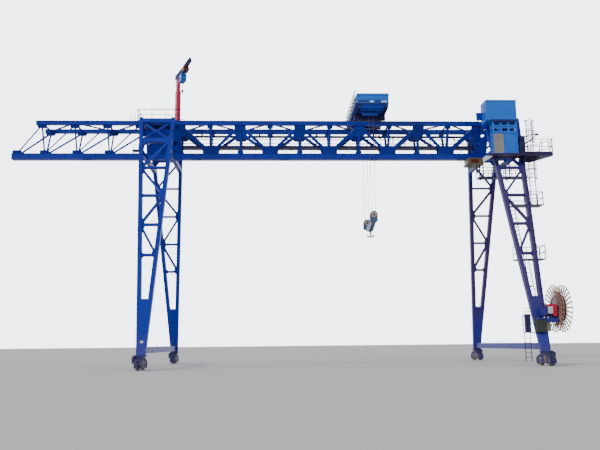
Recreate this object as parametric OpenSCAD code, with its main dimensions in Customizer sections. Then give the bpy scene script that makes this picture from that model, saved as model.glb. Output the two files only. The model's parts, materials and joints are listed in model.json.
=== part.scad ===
// Rail-mounted gantry crane for a freight yard, full size, in millimetres.
// +X runs along the bridge, +Y along the rails, +Z up; Z = 0 is the bottom of the wheel flanges.
// The bridge is one triangular lattice girder: a box bottom chord and two top chords.
// Four flat tapered lattice legs lean together in two A-frames under it.

/* [Overall] */
// Gauge: distance between the two leg lines, which is also the rail gauge
gauge = 25000; // [22000:100:27000]
// Distance between the front and the rear foot on one rail
wheel_base = 14800; // [13000:100:16500]
// Reach of the bottom chord beyond the left leg line
cantilever = 11200; // [10800:10:11400]
// Reach of the service platform beyond the right leg line
right_reach = 2800; // [2600:10:3200]

/* [Girder] */
// Underside of the bottom chord above the rails
bridge_z = 15140; // [14900:10:15400]
// Depth of the bottom chord
bottom_chord_h = 440; // [360:10:500]
// Width of the bottom chord over its flanges
bottom_chord_w = 560; // [520:10:620]
// How far the chord flanges stand out past the webs
flange_lip = 30; // [15:1:40]
// Thickness of the chord flanges
flange_t = 40; // [25:1:60]
// Depth of the girder over its chords
girder_h = 2660; // [2500:10:2800]
// Depth of a top chord
top_chord_h = 300; // [260:10:340]
// Width of a top chord
top_chord_w = 280; // [240:10:320]
// Distance between the centre lines of the top chords
chord_gap = 2100; // [2000:10:2300]
// Distance between neighbouring lattice nodes
panel = 2220; // [2150:1:2240]
// Half-panels between the legs
span_panels = 10; // [8:2:10]
// Panels of the cantilever
cant_panels = 4; // [3:1:4]
// Distance from the middle of the left head out to the cantilever's first node
cant_start = 1450; // [1440:10:1520]
// Distance between the cantilever's nodes
cant_panel = 2370; // [2300:10:2400]
// Distance of the cantilever's last node from the end of the bottom chord
cant_end = 400; // [360:10:500]
// Width of the cantilever's uprights
cant_upright_w = 100; // [80:5:130]
// Width of the cantilever's diagonals
cant_diagonal_w = 90; // [70:5:120]
// Width of a main diagonal
diagonal_w = 220; // [160:5:250]
// Width of the end diagonals beside the legs
end_diagonal_w = 270; // [200:5:300]
// Width of a lattice upright
upright_w = 160; // [110:5:200]
// Thickness of the lattice bars across their plane
lattice_t = 110; // [80:5:130]
// Thickness of the gusset plates
gusset_t = 30; // [16:2:50]
// Distance between the feet of the two lattice faces on the bottom chord
lattice_foot = 400; // [360:10:420]

/* [Legs] */
// Width of a leg across its columns at the top
leg_top_w = 2600; // [2400:10:2800]
// Width of the leg trunk at the foot
leg_foot_w = 560; // [480:10:640]
// How far the head of a left leg stands left of its foot
lean_left = 240; // [0:10:300]
// How far the head of a right leg stands left of its foot
lean_right = 110; // [0:10:300]
// Width of a leg column
column_w = 270; // [220:5:320]
// Depth of the leg columns and trunk
column_d = 360; // [300:5:420]
// Depth of the cross members and diagonals in a leg
brace_d = 200; // [140:5:260]
// Width of the leg diagonals and cross members
brace_w = 150; // [110:5:190]
// Distance between the front and rear leg centre lines at the top
leg_top_gap = 4200; // [4000:10:4500]
// Height at which the legs stand on the bogies
leg_foot_z = 900; // [850:10:1000]
// Top of the plated trunk
trunk_top_z = 4340; // [4000:10:4700]
// Height of the lowest cross member
first_cross_z = 7300; // [7000:10:7500]
// Middle of the deep upper cross beam above the girder's underside
deep_beam_up = 660; // [600:10:700]
// Height of the deep upper cross beam
deep_beam_h = 320; // [280:10:380]
// Height of the beam that closes the leg at the top
cap_beam_h = 340; // [280:10:380]
// Distance of that beam below the top of the girder
cap_drop = 230; // [180:10:260]

/* [Running gear] */
// Diameter of a crane wheel
wheel_d = 500; // [460:10:560]
// Width of a crane wheel's tread
wheel_w = 110; // [90:5:130]
// Distance between the two wheels of a bogie
wheel_pitch = 1500; // [1400:10:1560]
// Length of a bogie over its buffers
bogie_l = 2900; // [2800:10:3000]
// Width of a bogie
bogie_w = 440; // [400:10:480]
// Gap between moving pieces and what carries them
running_gap = 6; // [5:1:10]
// Clearance of pieces that seat on each other
seat = 0.3; // [0.2:0.1:0.5]
// Height of the sill beam's underside
sill_z = 1000; // [950:10:1100]
// Height of the sill beam
sill_h = 410; // [340:10:440]
// Width of the sill beam
sill_w = 300; // [260:10:340]

/* [Trolley] */
// Distance of the trolley at rest from the middle of the gauge
trolley_at = 2820; // [1000:10:4000]
// Length of the trolley house across the bridge
trolley_l = 6000; // [5600:50:6400]
// Width of the trolley house along the bridge
trolley_w = 2280; // [2200:10:2310]
// Underside of the trolley house above the top chords
trolley_floor = 700; // [650:10:760]
// Height of the trolley house
trolley_h = 610; // [560:10:700]
// Height of a trolley rail
rail_h = 60; // [50:5:80]
// Diameter of a trolley wheel
trolley_wheel_d = 320; // [280:10:340]
// Distance of the rope planes from the middle of the bridge
rope_y = 1800; // [1700:10:1900]
// Distance between the two falls of a rope pair
rope_gap = 300; // [260:10:340]
// Diameter of a hoist rope
rope_d = 26; // [20:1:32]
// Height of the hook block's sheave pins at rest
block_z = 10600; // [8000:10:12000]
// Depth of the hook below the sheave pins
hook_drop = 1410; // [1380:10:1500]

/* [Service equipment] */
// Top of the service platform below the girder's underside
platform_drop = 590; // [480:10:650]
// Height of the railings
railing_h = 1050; // [900:10:1150]
// Diameter of a railing tube, taken as a square bar
rail_t = 40; // [30:2:50]
// Height of the electrical house
house_h = 1500; // [1300:10:1600]
// Depth of the electrical house
house_d = 600; // [500:10:700]
// Height of the frame between the house and the upper cabinet
rack_h = 920; // [850:10:1000]
// Height of the upper cabinet
cabinet_h = 1480; // [1300:10:1600]
// Radius of the cable reel over its prongs
reel_r = 1500; // [1400:10:1560]
// Length of the cable reel's hub
reel_t = 400; // [360:10:440]
// Width of the cable reel over the flared ends of its spokes
reel_flare = 560; // [460:10:600]
// Radius of the wound cable
coil_r = 970; // [800:10:1050]
// Height of the reel's shaft
reel_z = 3560; // [3450:10:3650]
// Height of the jib crane's post
jib_post_h = 3600; // [3300:10:3900]
// Length of the jib arm from the post
jib_l = 3350; // [3000:10:3600]

/* [Hidden] */

// Colours, as the photograph shows them
blue = "royalblue";
deep_blue = "navy";
azure = "dodgerblue";
dark = "dimgray";
crimson = "crimson";

// Places along the bridge
total_l = cantilever + gauge + right_reach;
left_x = -total_l / 2 + cantilever;
right_x = left_x + gauge;
chord_left = left_x - cantilever;
head_left_x = left_x - lean_left;
head_right_x = right_x - lean_right;
chord_right = head_right_x + leg_top_w / 2;
span_l = span_panels * panel;
span_x0 = (head_left_x + head_right_x) / 2 - span_l / 2;
span_x1 = span_x0 + span_l;
cant_x0 = head_left_x - cant_start;
function cant_x(i) = max(cant_x0 - i * cant_panel, chord_left + cant_end);
top_chord_left = cant_x(cant_panels - 1) - 430;
trolley_x = (left_x + right_x) / 2 + trolley_at;

// Places across the bridge and up
top_z = bridge_z + girder_h;
platform_z = bridge_z - platform_drop;
chord_y = chord_gap / 2;
bottom_chord_top = bridge_z + bottom_chord_h;
top_chord_bottom = top_z - top_chord_h;
face_h = top_chord_bottom - bottom_chord_top;
face_lean = atan((chord_y - lattice_foot / 2) / face_h);
face_v = face_h / cos(face_lean);
foot_y = wheel_base / 2;
leg_rise = top_z - leg_foot_z;
leg_lean = atan((foot_y - leg_top_gap / 2) / leg_rise);
// Distance of a leg's centre plane from the middle, at a height
function leg_y(z) = foot_y - (foot_y - leg_top_gap / 2) * (z - leg_foot_z) / leg_rise;
// Half thickness of a leg, measured level
leg_half_t = column_d / 2 / cos(leg_lean);
// Half width of a leg at a height
function leg_half_w(z) =
    (leg_foot_w + (leg_top_w - leg_foot_w) * (z - leg_foot_z) / leg_rise) / 2;
function foot_x(side) = side < 0 ? left_x : right_x;
// Centre of a leg along the bridge at a height; side is -1 for a left leg
function leg_mid(side, z) =
    foot_x(side) - (side < 0 ? lean_left : lean_right) * (z - leg_foot_z) / leg_rise;
deep_beam_z = bridge_z + deep_beam_up;
cap_z = top_z - cap_drop - cap_beam_h / 2;
leg_top_z = top_z - 100;
cross_pitch = (deep_beam_z - first_cross_z) / 4;
cross_z = [for (i = [0 : 3]) first_cross_z + i * cross_pitch];
// Faces of a leg at a height, with the seat of what stands against them
function leg_inner_y(z) = leg_y(z) - leg_half_t - seat;
function leg_outer_y(z) = leg_y(z) + leg_half_t + seat;
leg_dz = column_d / 2 * sin(leg_lean);
function leg_side(side, d, z) = leg_mid(side, z + leg_dz) + d * (leg_half_w(z + leg_dz) + seat);

// A flat bar between two points of a drawing
module bar(a, b, w) {
    d = b - a;
    translate(a) rotate(atan2(d.y, d.x)) translate([0, -w / 2]) square([norm(d), w]);
}

// A box given by its lowest and highest corners
module block(lo, hi) {
    translate(lo) cube(hi - lo);
}

// A flat opening with round ends, w between their centres
module obround(w, r) {
    translate([-w / 2, -r]) square([w, 2 * r]);
    for (d = [-1, 1]) translate([d * w / 2, 0]) circle(r = r, $fn = 24);
}

// A round bar along X or Y, centred on its middle
module round_x(r, l) rotate([0, 90, 0]) cylinder(r = r, h = l, center = true, $fn = 48);
module round_y(r, l) rotate([90, 0, 0]) cylinder(r = r, h = l, center = true, $fn = 48);

// A square bar between two points in space
module strut(a, b, w) {
    d = b - a;
    translate(a) rotate([0, acos(d.z / norm(d)), atan2(d.y, d.x)])
        translate([-w / 2, -w / 2, 0]) cube([w, w, norm(d)]);
}

// Stands a drawing up in the XZ plane, centred on Y = 0
module upright(t) rotate([90, 0, 0]) linear_extrude(height = t, center = true) children();

// Girder chords
module bottom_chord() color(blue) {
    y = bottom_chord_w / 2;
    union() {
        block([chord_left, -y + flange_lip, bridge_z], [chord_right, y - flange_lip, bottom_chord_top]);
        block([chord_left, -y, bridge_z], [chord_right, y, bridge_z + flange_t]);
        block([chord_left, -y, bottom_chord_top - flange_t], [chord_right, y, bottom_chord_top]);
    }
}

module top_chord(s) color(blue) {
    y = top_chord_w / 2;
    translate([0, s * chord_y, 0]) union() {
        block([top_chord_left, -y + flange_lip, top_chord_bottom], [chord_right, y - flange_lip, top_z]);
        block([top_chord_left, -y, top_chord_bottom], [chord_right, y, top_chord_bottom + flange_t]);
        block([top_chord_left, -y, top_z - flange_t], [chord_right, y, top_z]);
    }
}

// Lattice of one sloping face, drawn flat: x along the bridge, y up the slope
function span_node(i) = [span_x0 + i * panel, i % 2 == 0 ? face_v : 0];
function cant_bottom(i) = [cant_x(i), 0];
function cant_top(i) = [cant_x(i), face_v];

module span_only() intersection() {
    children();
    translate([span_x0 - upright_w / 2, -200]) square([span_l + upright_w, face_v + 400]);
}

module face_bars() {
    span_only() for (i = [0 : span_panels - 1])
        bar(span_node(i), span_node(i + 1), i == 0 || i == span_panels - 1 ? end_diagonal_w : diagonal_w);
    for (i = [0 : span_panels])
        bar([span_x0 + i * panel, -100], [span_x0 + i * panel, face_v + 100], upright_w);
    for (i = [0 : cant_panels - 1])
        bar(cant_top(i), cant_bottom(i), cant_upright_w);
    for (i = [1 : cant_panels])
        bar(cant_bottom(i), cant_top(i - 1), cant_diagonal_w);
}

// A gusset on a chord, l long and h high, with its far corners cut
module gusset(x, up, l, h, corner) {
    s = up ? 1 : -1;
    y0 = up ? 0 : face_v;
    polygon([for (p = [[-l / 2, -50], [l / 2, -50], [l / 2, h - corner], [l / 2 - corner, h],
                       [corner - l / 2, h], [-l / 2, h - corner]])
             [x + p.x, y0 + s * p.y]]);
}

module face_gussets() {
    span_only() for (i = [0 : span_panels]) {
        low = i % 2 == 1;
        x = span_x0 + i * panel;
        if (low) gusset(x, true, 1200, 530, 180); else gusset(x, false, 860, 800, 120);
        gusset(x, !low, 430, 250, 60);
    }
    for (i = [0 : cant_panels - 1]) gusset(cant_x(i), false, 700, 250, 80);
    for (i = [1 : cant_panels]) gusset(cant_x(i), true, 700, 250, 80);
}

// Plated bays at the ends of the span, with rounded openings
end_holes = [[465, 1378, 120], [245, 766, 110], [130, 219, 90]];
module face_plates() difference() {
    union() {
        translate([head_left_x - 1060, -50]) square([span_x0 - head_left_x + 1120, face_v + 100]);
        translate([span_x1 - 60, -50]) square([940, face_v + 100]);
    }
    for (i = [0 : 3]) translate([head_left_x - 700 + i * 570, 735]) obround(120, 130);
    for (i = [0 : 4]) translate([head_left_x - 800 + i * 460, 190]) circle(r = 55, $fn = 24);
    for (h = end_holes) translate([span_x1 + h[0], h[1]]) circle(r = h[2], $fn = 24);
}

// Puts a flat drawing of a face on the front (-1) or rear (1) slope
module on_face(s, t, inset = 0) {
    mirror([0, s > 0 ? 1 : 0, 0])
        translate([0, -lattice_foot / 2, bottom_chord_top]) rotate([face_lean, 0, 0])
            translate([0, inset, 0]) upright(t) children();
}

module lattice(s) color(blue) difference() {
    intersection() {
        union() {
            on_face(s, lattice_t) face_bars();
            on_face(s, gusset_t) union() {
                face_gussets();
                face_plates();
            }
        }
        block([chord_left, -wheel_base, bottom_chord_top], [chord_right, wheel_base, top_chord_bottom]);
    }
    for (side = [-1, 1])
        block([head_beam_x(side, -1) - head_beam_w / 2 - notch_gap, -wheel_base, top_chord_bottom - head_tie_h - notch_gap],
              [head_beam_x(side, 1) + head_beam_w / 2 + notch_gap, wheel_base, top_z]);
}

// Level bracing between the two top chords
brace_t = 90;
bracing_w = 110;
module top_bracing() color(blue) {
    y = chord_y - top_chord_w / 2;
    n_left = [for (i = [cant_panels - 1 : -1 : 0]) cant_x(i)];
    n_span = [for (i = [0 : span_panels]) span_x0 + i * panel];
    xs = concat(n_left, n_span);
    translate([0, 0, top_z - top_chord_h / 2]) linear_extrude(height = brace_t, center = true)
        intersection() {
            union() {
                for (x = xs) bar([x, -chord_y], [x, chord_y], bracing_w);
                for (i = [0 : len(xs) - 2])
                    bar([xs[i], (i % 2 == 0 ? 1 : -1) * chord_y], [xs[i + 1], (i % 2 == 0 ? -1 : 1) * chord_y],
                        bracing_w);
            }
            translate([chord_left, -y - flange_lip]) square([total_l, 2 * (y + flange_lip)]);
        }
}

// Rails of the trolley, on the top chords between the legs
rail_w = 60;
// How far the left head's platform reaches past the head towards the span
platform_out = 200;
module trolley_rails() color(dark) {
    for (s = [-1, 1])
        block([head_left_x + leg_top_w / 2 + platform_out + seat, s * chord_y - rail_w / 2, top_z],
              [head_right_x - leg_top_w / 2, s * chord_y + rail_w / 2, top_z + rail_h]);
}

// Walkway inside the girder
deck_z = bottom_chord_top + 380;
deck_t = 180;
hand_rails = [390, 760];
deck_w = 560;
module walkway_deck() color(deep_blue) union() {
    block([span_x0, -deck_w / 2, deck_z], [span_x0 + span_l, deck_w / 2, deck_z + deck_t / 2]);
    for (s = [-1, 1])
        block([span_x0, s * deck_w / 2 - (s > 0 ? 20 : 0), deck_z],
              [span_x0 + span_l, s * deck_w / 2 + (s > 0 ? 0 : 20), deck_z + deck_t]);
    for (i = [0 : span_panels])
        block([span_x0 + i * panel - 50, -50, bottom_chord_top],
              [span_x0 + i * panel + 50, 50, deck_z]);
}

module walkway_railings() color(deep_blue) {
    for (s = [-1, 1]) for (up = hand_rails) {
        v = (deck_z + deck_t + up - bottom_chord_top) / cos(face_lean);
        on_face(s, rail_t, (lattice_t + rail_t) / 2)
            bar([span_x0 + 100, v], [span_x0 + span_l - 100, v], rail_t);
    }
}

// One leg, drawn flat: x from its centre line, which leans by $lean up to the head, y up the slope
function up_leg(z) = (z - leg_foot_z) / cos(leg_lean);
function leg_pt(x, z) = [x - $lean * (z - leg_foot_z) / leg_rise, up_leg(z)];
module leg_column(s, z0, z1) {
    polygon([for (p = [[leg_half_w(z0), z0], [leg_half_w(z1), z1],
                       [leg_half_w(z1) - column_w, z1], [leg_half_w(z0) - column_w, z0]])
             leg_pt(s * p.x, p.y)]);
}

// Centre of a column at a height, on the drawing
function column_at(s, z) = leg_pt(s * (leg_half_w(z) - column_w / 2), z);

// Corner plates where a diagonal meets a column
module column_gusset(s, z) {
    x0 = leg_half_w(z) - column_w + 20;
    polygon([for (p = [[x0, z - 480], [x0 - 130, z - 300], [x0 - 200, z - 60], [x0 - 200, z + 60],
                       [x0 - 130, z + 300], [x0, z + 480]])
             leg_pt(s * p.x, p.y)]);
}

// Haunch under one end of the deep upper beam
haunch = 300;
module beam_haunch(s) {
    z = deep_beam_z - deep_beam_h / 2 + 20;
    x = leg_half_w(z) - column_w + 20;
    polygon([leg_pt(s * x, z), leg_pt(s * (x - haunch), z), leg_pt(s * x, z - haunch)]);
}

// in_side is the side of the leg that faces the other leg line: 1 is +X
module leg_lattice(in_side) {
    zs = concat([trunk_top_z], cross_z, [deep_beam_z]);
    for (i = [0 : 4]) {
        s0 = (i % 2 == 0 ? -1 : 1) * in_side;
        bar(column_at(s0, zs[i]), column_at(-s0, zs[i + 1]), brace_w);
        column_gusset(-s0, zs[i + 1]);
    }
    for (z = cross_z) bar(column_at(-1, z), column_at(1, z), brace_w);
    for (s = [-1, 1])
        bar(column_at(s, deep_beam_z), column_at(-s, cap_z), brace_w * 0.8);
}

module leg_flat() {
    low_z = leg_foot_z - 120;
    polygon([for (p = [[-leg_half_w(low_z), low_z], [leg_half_w(low_z), low_z],
                       [leg_half_w(trunk_top_z), trunk_top_z], [-leg_half_w(trunk_top_z), trunk_top_z]])
             leg_pt(p.x, p.y)]);
    for (s = [-1, 1]) leg_column(s, trunk_top_z, leg_top_z + 120);
    bar(column_at(-1, cap_z), column_at(1, cap_z), cap_beam_h);
}

// Leans a drawing back onto the centre plane of a front leg
module on_leg() translate([0, -foot_y, leg_foot_z]) rotate([-leg_lean, 0, 0]) children();

module leg(side, s) color(blue) {
    $lean = side < 0 ? lean_left : lean_right;
    translate([foot_x(side), 0, 0]) mirror([0, s > 0 ? 1 : 0, 0]) intersection() {
        on_leg() union() {
            upright(column_d) leg_flat();
            upright(column_d * 0.8) union() {
                bar(column_at(-1, deep_beam_z), column_at(1, deep_beam_z), deep_beam_h);
                for (d = [-1, 1]) beam_haunch(d);
            }
            upright(brace_d) leg_lattice(-side);
        }
        block([-leg_top_w, -2 * foot_y, leg_foot_z], [leg_top_w, 0, leg_top_z]);
    }
}

// Cross beams that join the front and rear leg and carry the chords
head_beam_w = 260;
head_beam_h = 340;
head_tie_h = 260;
notch_gap = 20;
function head_beam_x(side, d) = leg_mid(side, bridge_z) + d * (leg_half_w(bridge_z) - column_w / 2);
module head_beam(x, top, h) {
    y0 = leg_inner_y(top - h);
    y1 = leg_inner_y(top);
    translate([x, 0, 0]) rotate([90, 0, 90]) linear_extrude(height = head_beam_w, center = true)
        polygon([[-y0, top - h], [y0, top - h], [y1, top], [-y1, top]]);
}

module head_frame(side) color(blue) {
    for (d = [-1, 1]) {
        head_beam(head_beam_x(side, d), bridge_z, head_beam_h);
        head_beam(head_beam_x(side, d), top_chord_bottom, head_tie_h);
    }
}

// Sill beams between the feet
module sill_beam(x) color(blue) {
    in_y = function(z) leg_inner_y(z);
    translate([x, 0, 0]) rotate([90, 0, 90]) linear_extrude(height = sill_w, center = true)
        polygon([[-in_y(sill_z), sill_z], [in_y(sill_z), sill_z],
                 [in_y(sill_z + sill_h), sill_z + sill_h], [-in_y(sill_z + sill_h), sill_z + sill_h]]);
}

// Two-wheel bogie, centred under a foot
flange_h = 20;
flange_r = wheel_d / 2 + flange_h;
axle_z = flange_r;
axle_r = 60;
flange_w = 30;
wheel_slot = wheel_w + 2 * flange_w + 2 * running_gap;
bogie_bottom = 150;
module bogie(side, s) color(deep_blue) {
    translate([foot_x(side), s * foot_y, 0]) difference() {
        union() {
            rotate([90, 0, 90]) linear_extrude(height = bogie_w, center = true)
                polygon([[-wheel_pitch / 2 - 330, bogie_bottom], [wheel_pitch / 2 + 330, bogie_bottom],
                         [wheel_pitch / 2 + 330, 480], [550, 700], [-550, 700], [-wheel_pitch / 2 - 330, 480]]);
            block([-bogie_w / 2, -350, 600], [bogie_w / 2, 350, leg_foot_z]);
            for (e = [-1, 1])
                translate([0, e * (wheel_pitch / 2 + 330), 330]) rotate([-e * 90, 0, 0])
                    cylinder(r = 70, h = bogie_l / 2 - wheel_pitch / 2 - 330, $fn = 48);
        }
        for (e = [-1, 1]) translate([0, e * wheel_pitch / 2, axle_z]) {
            block([-wheel_slot / 2, -flange_r - 25, -wheel_d], [wheel_slot / 2, flange_r + 25, flange_r + 25]);
            round_x(axle_r + seat, bogie_w + 2);
        }
    }
}

module crane_wheel(side, s, e) color(dark) {
    translate([foot_x(side), s * foot_y + e * wheel_pitch / 2, axle_z]) union() {
        round_x(wheel_d / 2, wheel_w);
        for (f = [-1, 1]) translate([f * (wheel_w + flange_w) / 2, 0, 0]) round_x(flange_r, flange_w);
        round_x(axle_r, bogie_w + 20);
    }
}

// Geared motors on the outer side of each bogie
module travel_drives() color(deep_blue) {
    for (side = [-1, 1]) for (s = [-1, 1])
        translate([foot_x(side) + side * (bogie_w / 2 + 12), s * foot_y, 0]) mirror([side < 0 ? 1 : 0, 0, 0]) {
            union() {
                block([0, s * 200 - 130, 420], [260, s * 200 + 130, 660]);
                translate([130, s * 200, 740]) round_y(110, 520);
                translate([-12, s * 200 - 100, 500]) cube([12, 200, 120]);
            }
        }
}

// Service platform in front of the right leg
plat_x0 = right_x - 1650;
plat_x1 = right_x + right_reach;
plat_t = 160;
plat_y1 = -leg_outer_y(platform_z - plat_t);
plat_y0 = plat_y1 - house_d - 150;
plat_back = plat_y0 + 2000;
plat_tip = 350;
plat_taper = 900;
ladder_x = right_x + 1550;
ladder_y = -3200;
ladder_w = 420;
ladder_t = 50;
cage_r = 350;
module service_platform() color(deep_blue) {
    side_x = leg_side(1, 1, platform_z);
    difference() {
        union() {
            translate([0, 0, platform_z - plat_t]) linear_extrude(height = plat_t)
                polygon([[plat_x0, plat_y0], [plat_x1, plat_y0], [plat_x1, plat_y0 + plat_tip],
                         [plat_x1 - plat_taper, plat_back], [side_x, plat_back], [side_x, plat_y1], [plat_x0, plat_y1]]);
            for (d = [-1, 1])
                translate([leg_mid(1, platform_z) + d * (leg_half_w(platform_z) - column_w / 2), 0, 0])
                    rotate([90, 0, 90]) linear_extrude(height = 160, center = true)
                        polygon([[plat_y0 + 50, platform_z - plat_t], [plat_y0 + 50, platform_z - plat_t - 100],
                                 [-leg_outer_y(platform_z - plat_t - 500), platform_z - plat_t - 500],
                                 [-leg_outer_y(platform_z - plat_t), platform_z - plat_t]]);
        }
        block([ladder_x - cage_r, ladder_y - cage_r - rail_t, platform_z - 2 * plat_t],
              [ladder_x + cage_r, ladder_y + ladder_t / 2 + seat, platform_z + plat_t]);
    }
}

// One run of railing: posts and two rails, standing on its seat
module railing(a, b, z, h) {
    d = b - a;
    n = max(1, round(norm(d) / 900));
    translate([a.x, a.y, z + seat]) rotate(atan2(d.y, d.x)) union() {
        for (i = [0 : n]) translate([i * (norm(d) - rail_t) / n, -rail_t / 2, 0]) cube([rail_t, rail_t, h]);
        for (k = [0.5, 1]) translate([0, -rail_t / 2, h * k - rail_t]) cube([norm(d), rail_t, rail_t]);
    }
}

// A row of runs round a corner, each starting beside the one before
module railing_runs(points, z, h) {
    for (i = [0 : len(points) - 2]) {
        d = (points[i + 1] - points[i]) / norm(points[i + 1] - points[i]);
        railing(points[i] + d * (i == 0 ? 0 : rail_t / 2 + seat), points[i + 1] + d * rail_t / 2, z, h);
    }
}

module platform_railing() color(deep_blue) {
    inset = rail_t / 2;
    railing_runs([[right_x + 480, plat_y0 + inset], [plat_x1 - inset, plat_y0 + inset],
                  [plat_x1 - inset, plat_y0 + plat_tip - inset]], platform_z, railing_h);
    railing([plat_x1 - 2 * rail_t, plat_y0 + plat_tip + 2 * rail_t],
            [plat_x1 - plat_taper - 10, plat_back - 2 * rail_t], platform_z, railing_h);
    railing([leg_side(1, 1, bridge_z) + rail_t, plat_back - inset],
            [plat_x1 - plat_taper - 2 * rail_t, plat_back - inset], platform_z, railing_h);
}

house_x0 = right_x - 1400;
house_x1 = right_x + 370;
house_y0 = plat_y0 + 60;
house_y1 = house_y0 + house_d;
module electrical_house() color(azure) {
    block([house_x0, house_y0, platform_z], [house_x1, house_y1, platform_z + house_h]);
}

rack_z = platform_z + house_h;
rack_post = 110;
module cabinet_rack() color(azure) {
    union() {
        for (x = [house_x0, house_x1 - rack_post]) for (y = [house_y0, house_y1 - rack_post])
            block([x, y, rack_z], [x + rack_post, y + rack_post, rack_z + rack_h]);
        for (z = [rack_z + rack_h / 2, rack_z + rack_h - rack_post])
            for (y = [house_y0, house_y1 - rack_post])
                block([house_x0, y, z], [house_x1, y + rack_post, z + rack_post]);
        for (x = [house_x0, house_x1 - rack_post])
            block([x, house_y0, rack_z + rack_h - rack_post], [x + rack_post, house_y1, rack_z + rack_h]);
        translate([0, house_y0 + rack_post / 2, 0]) upright(20) difference() {
            translate([house_x0 + 10, rack_z]) square([house_x1 - house_x0 - 20, rack_h - 10]);
            for (i = [0 : 2]) for (up = [0.26, 0.76])
                translate([house_x0 + 340 + i * 550, rack_z + rack_h * up]) obround(200, 100);
        }
        strut([house_x0 + 60, house_y0 + 55, rack_z + rack_h / 2 + 60],
              [house_x0 + 700, house_y0 + 55, rack_z + 40], 80);
    }
}

module upper_cabinet() color(azure) {
    z0 = rack_z + rack_h;
    block([house_x0 - 400, house_y0 - 50, z0], [house_x1, -leg_outer_y(z0) - 300, z0 + cabinet_h]);
}

// Gangway hung under the end of the girder
gang_z = bridge_z - 1440;
gang_w = 800;
gang_x0 = leg_mid(1, bridge_z) - 1300;
gang_x1 = gang_x0 + 3700;
module under_gangway() color(deep_blue) {
    top = bridge_z - head_beam_h;
    floor_z = gang_z + 80;
    block([gang_x0, -gang_w / 2, gang_z], [gang_x1, gang_w / 2, floor_z]);
    for (s = [-1, 1])
        railing([gang_x0, s * (gang_w / 2 - 20)], [gang_x1, s * (gang_w / 2 - 20)], floor_z, 900);
    for (d = [-1, 1]) translate([head_beam_x(1, d) - 40, 0, gang_z - 60])
        difference() {
            translate([0, -gang_w / 2 - 80, 0]) cube([80, gang_w + 160, top - gang_z + 60 - seat]);
            translate([-1, -gang_w / 2 - seat, 60 - seat]) cube([82, gang_w + 2 * seat, top]);
        }
}

// Landings on the inner face of the front right leg: height, left and right end from the gauge line, depth
landings = [[5100, -350, 120, 500], [6950, -600, 1300, 1000], [10900, -80, 1900, 1050]];
land_t = 60;
low_ladder_w = 300;
low_ladder_in = -300;
module leg_landings() color(deep_blue) {
    for (l = landings) {
        z = l[0];
        x0 = right_x + l[1];
        x1 = right_x + l[2];
        y0 = -leg_inner_y(z);
        y1 = y0 + l[3];
        hole_x = leg_mid(1, z) + low_ladder_in;
        difference() {
            block([x0, y0, z - land_t], [x1, y1, z]);
            if (l[3] == landings[1][3])
                block([hole_x - low_ladder_w / 2 - 60, y0 - 1, z - 2 * land_t], [hole_x + low_ladder_w / 2 + 60, y0 + 130, z + 1]);
        }
        if (l[2] > 1000) {
            side_x = leg_side(1, 1, z + 900) + rail_t;
            railing_runs([[side_x, y0 + rail_t], [x1 - rail_t / 2, y0 + rail_t], [x1 - rail_t / 2, y1 - rail_t / 2],
                          [x0 + rail_t / 2, y1 - rail_t / 2]], z, 900);
        }
    }
}

cage_top = 17200;
module leg_ladders() color(deep_blue) {
    // The lower ladder follows the leg's inner face
    $lean = lean_right;
    z0 = landings[0][0] + seat;
    z1 = landings[2][0] + 200;
    translate([right_x, 0, 0]) intersection() {
        on_leg() translate([0, column_d / 2 + ladder_t / 2 + seat, 0]) upright(ladder_t) {
            for (d = [-1, 1])
                bar(leg_pt(low_ladder_in + d * low_ladder_w / 2, z0 - 200), leg_pt(low_ladder_in + d * low_ladder_w / 2, z1 + 200), 50);
            for (z = [z0 + 300 : 300 : z1 - 100])
                bar(leg_pt(low_ladder_in - low_ladder_w / 2, z), leg_pt(low_ladder_in + low_ladder_w / 2, z), 30);
        }
        block([-2000, -wheel_base, z0], [2000, 0, z1]);
    }
    // The upper ladder stands upright on the top landing and goes through the platform
    translate([ladder_x, ladder_y, 0]) union() {
        for (d = [-1, 1])
            block([d * ladder_w / 2 - 25, -ladder_t / 2, landings[2][0] + seat], [d * ladder_w / 2 + 25, ladder_t / 2, cage_top]);
        for (z = [landings[2][0] + 300 : 300 : cage_top - 100])
            block([-ladder_w / 2, -15, z], [ladder_w / 2, 15, z + 30]);
    }
}

// Hoops and straps round the back of the upper ladder
cage_t = 12;
module cage_ring() {
    intersection() {
        difference() {
            circle(r = cage_r, $fn = 48);
            circle(r = cage_r - cage_t, $fn = 48);
        }
        translate([-cage_r, -cage_r]) square([2 * cage_r, cage_r]);
    }
    for (d = [-1, 1])
        translate([d * (cage_r + ladder_w / 2 + 25 + seat) / 2, -cage_t / 2]) square([cage_r - ladder_w / 2 - 25 - seat, cage_t], center = true);
}

module ladder_cage() color(deep_blue) {
    for (run = [[12900, platform_z - plat_t - 100], [platform_z + 1000, cage_top]])
        translate([ladder_x, ladder_y, 0]) union() {
            for (k = [0 : 2]) translate([0, 0, run[0] + k * (run[1] - run[0] - 50) / 2]) linear_extrude(height = 50) cage_ring();
            for (a = [-150 : 30 : -30])
                rotate(a) translate([cage_r - cage_t, -20, run[0]]) cube([cage_t, 40, run[1] - run[0]]);
        }
}

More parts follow.
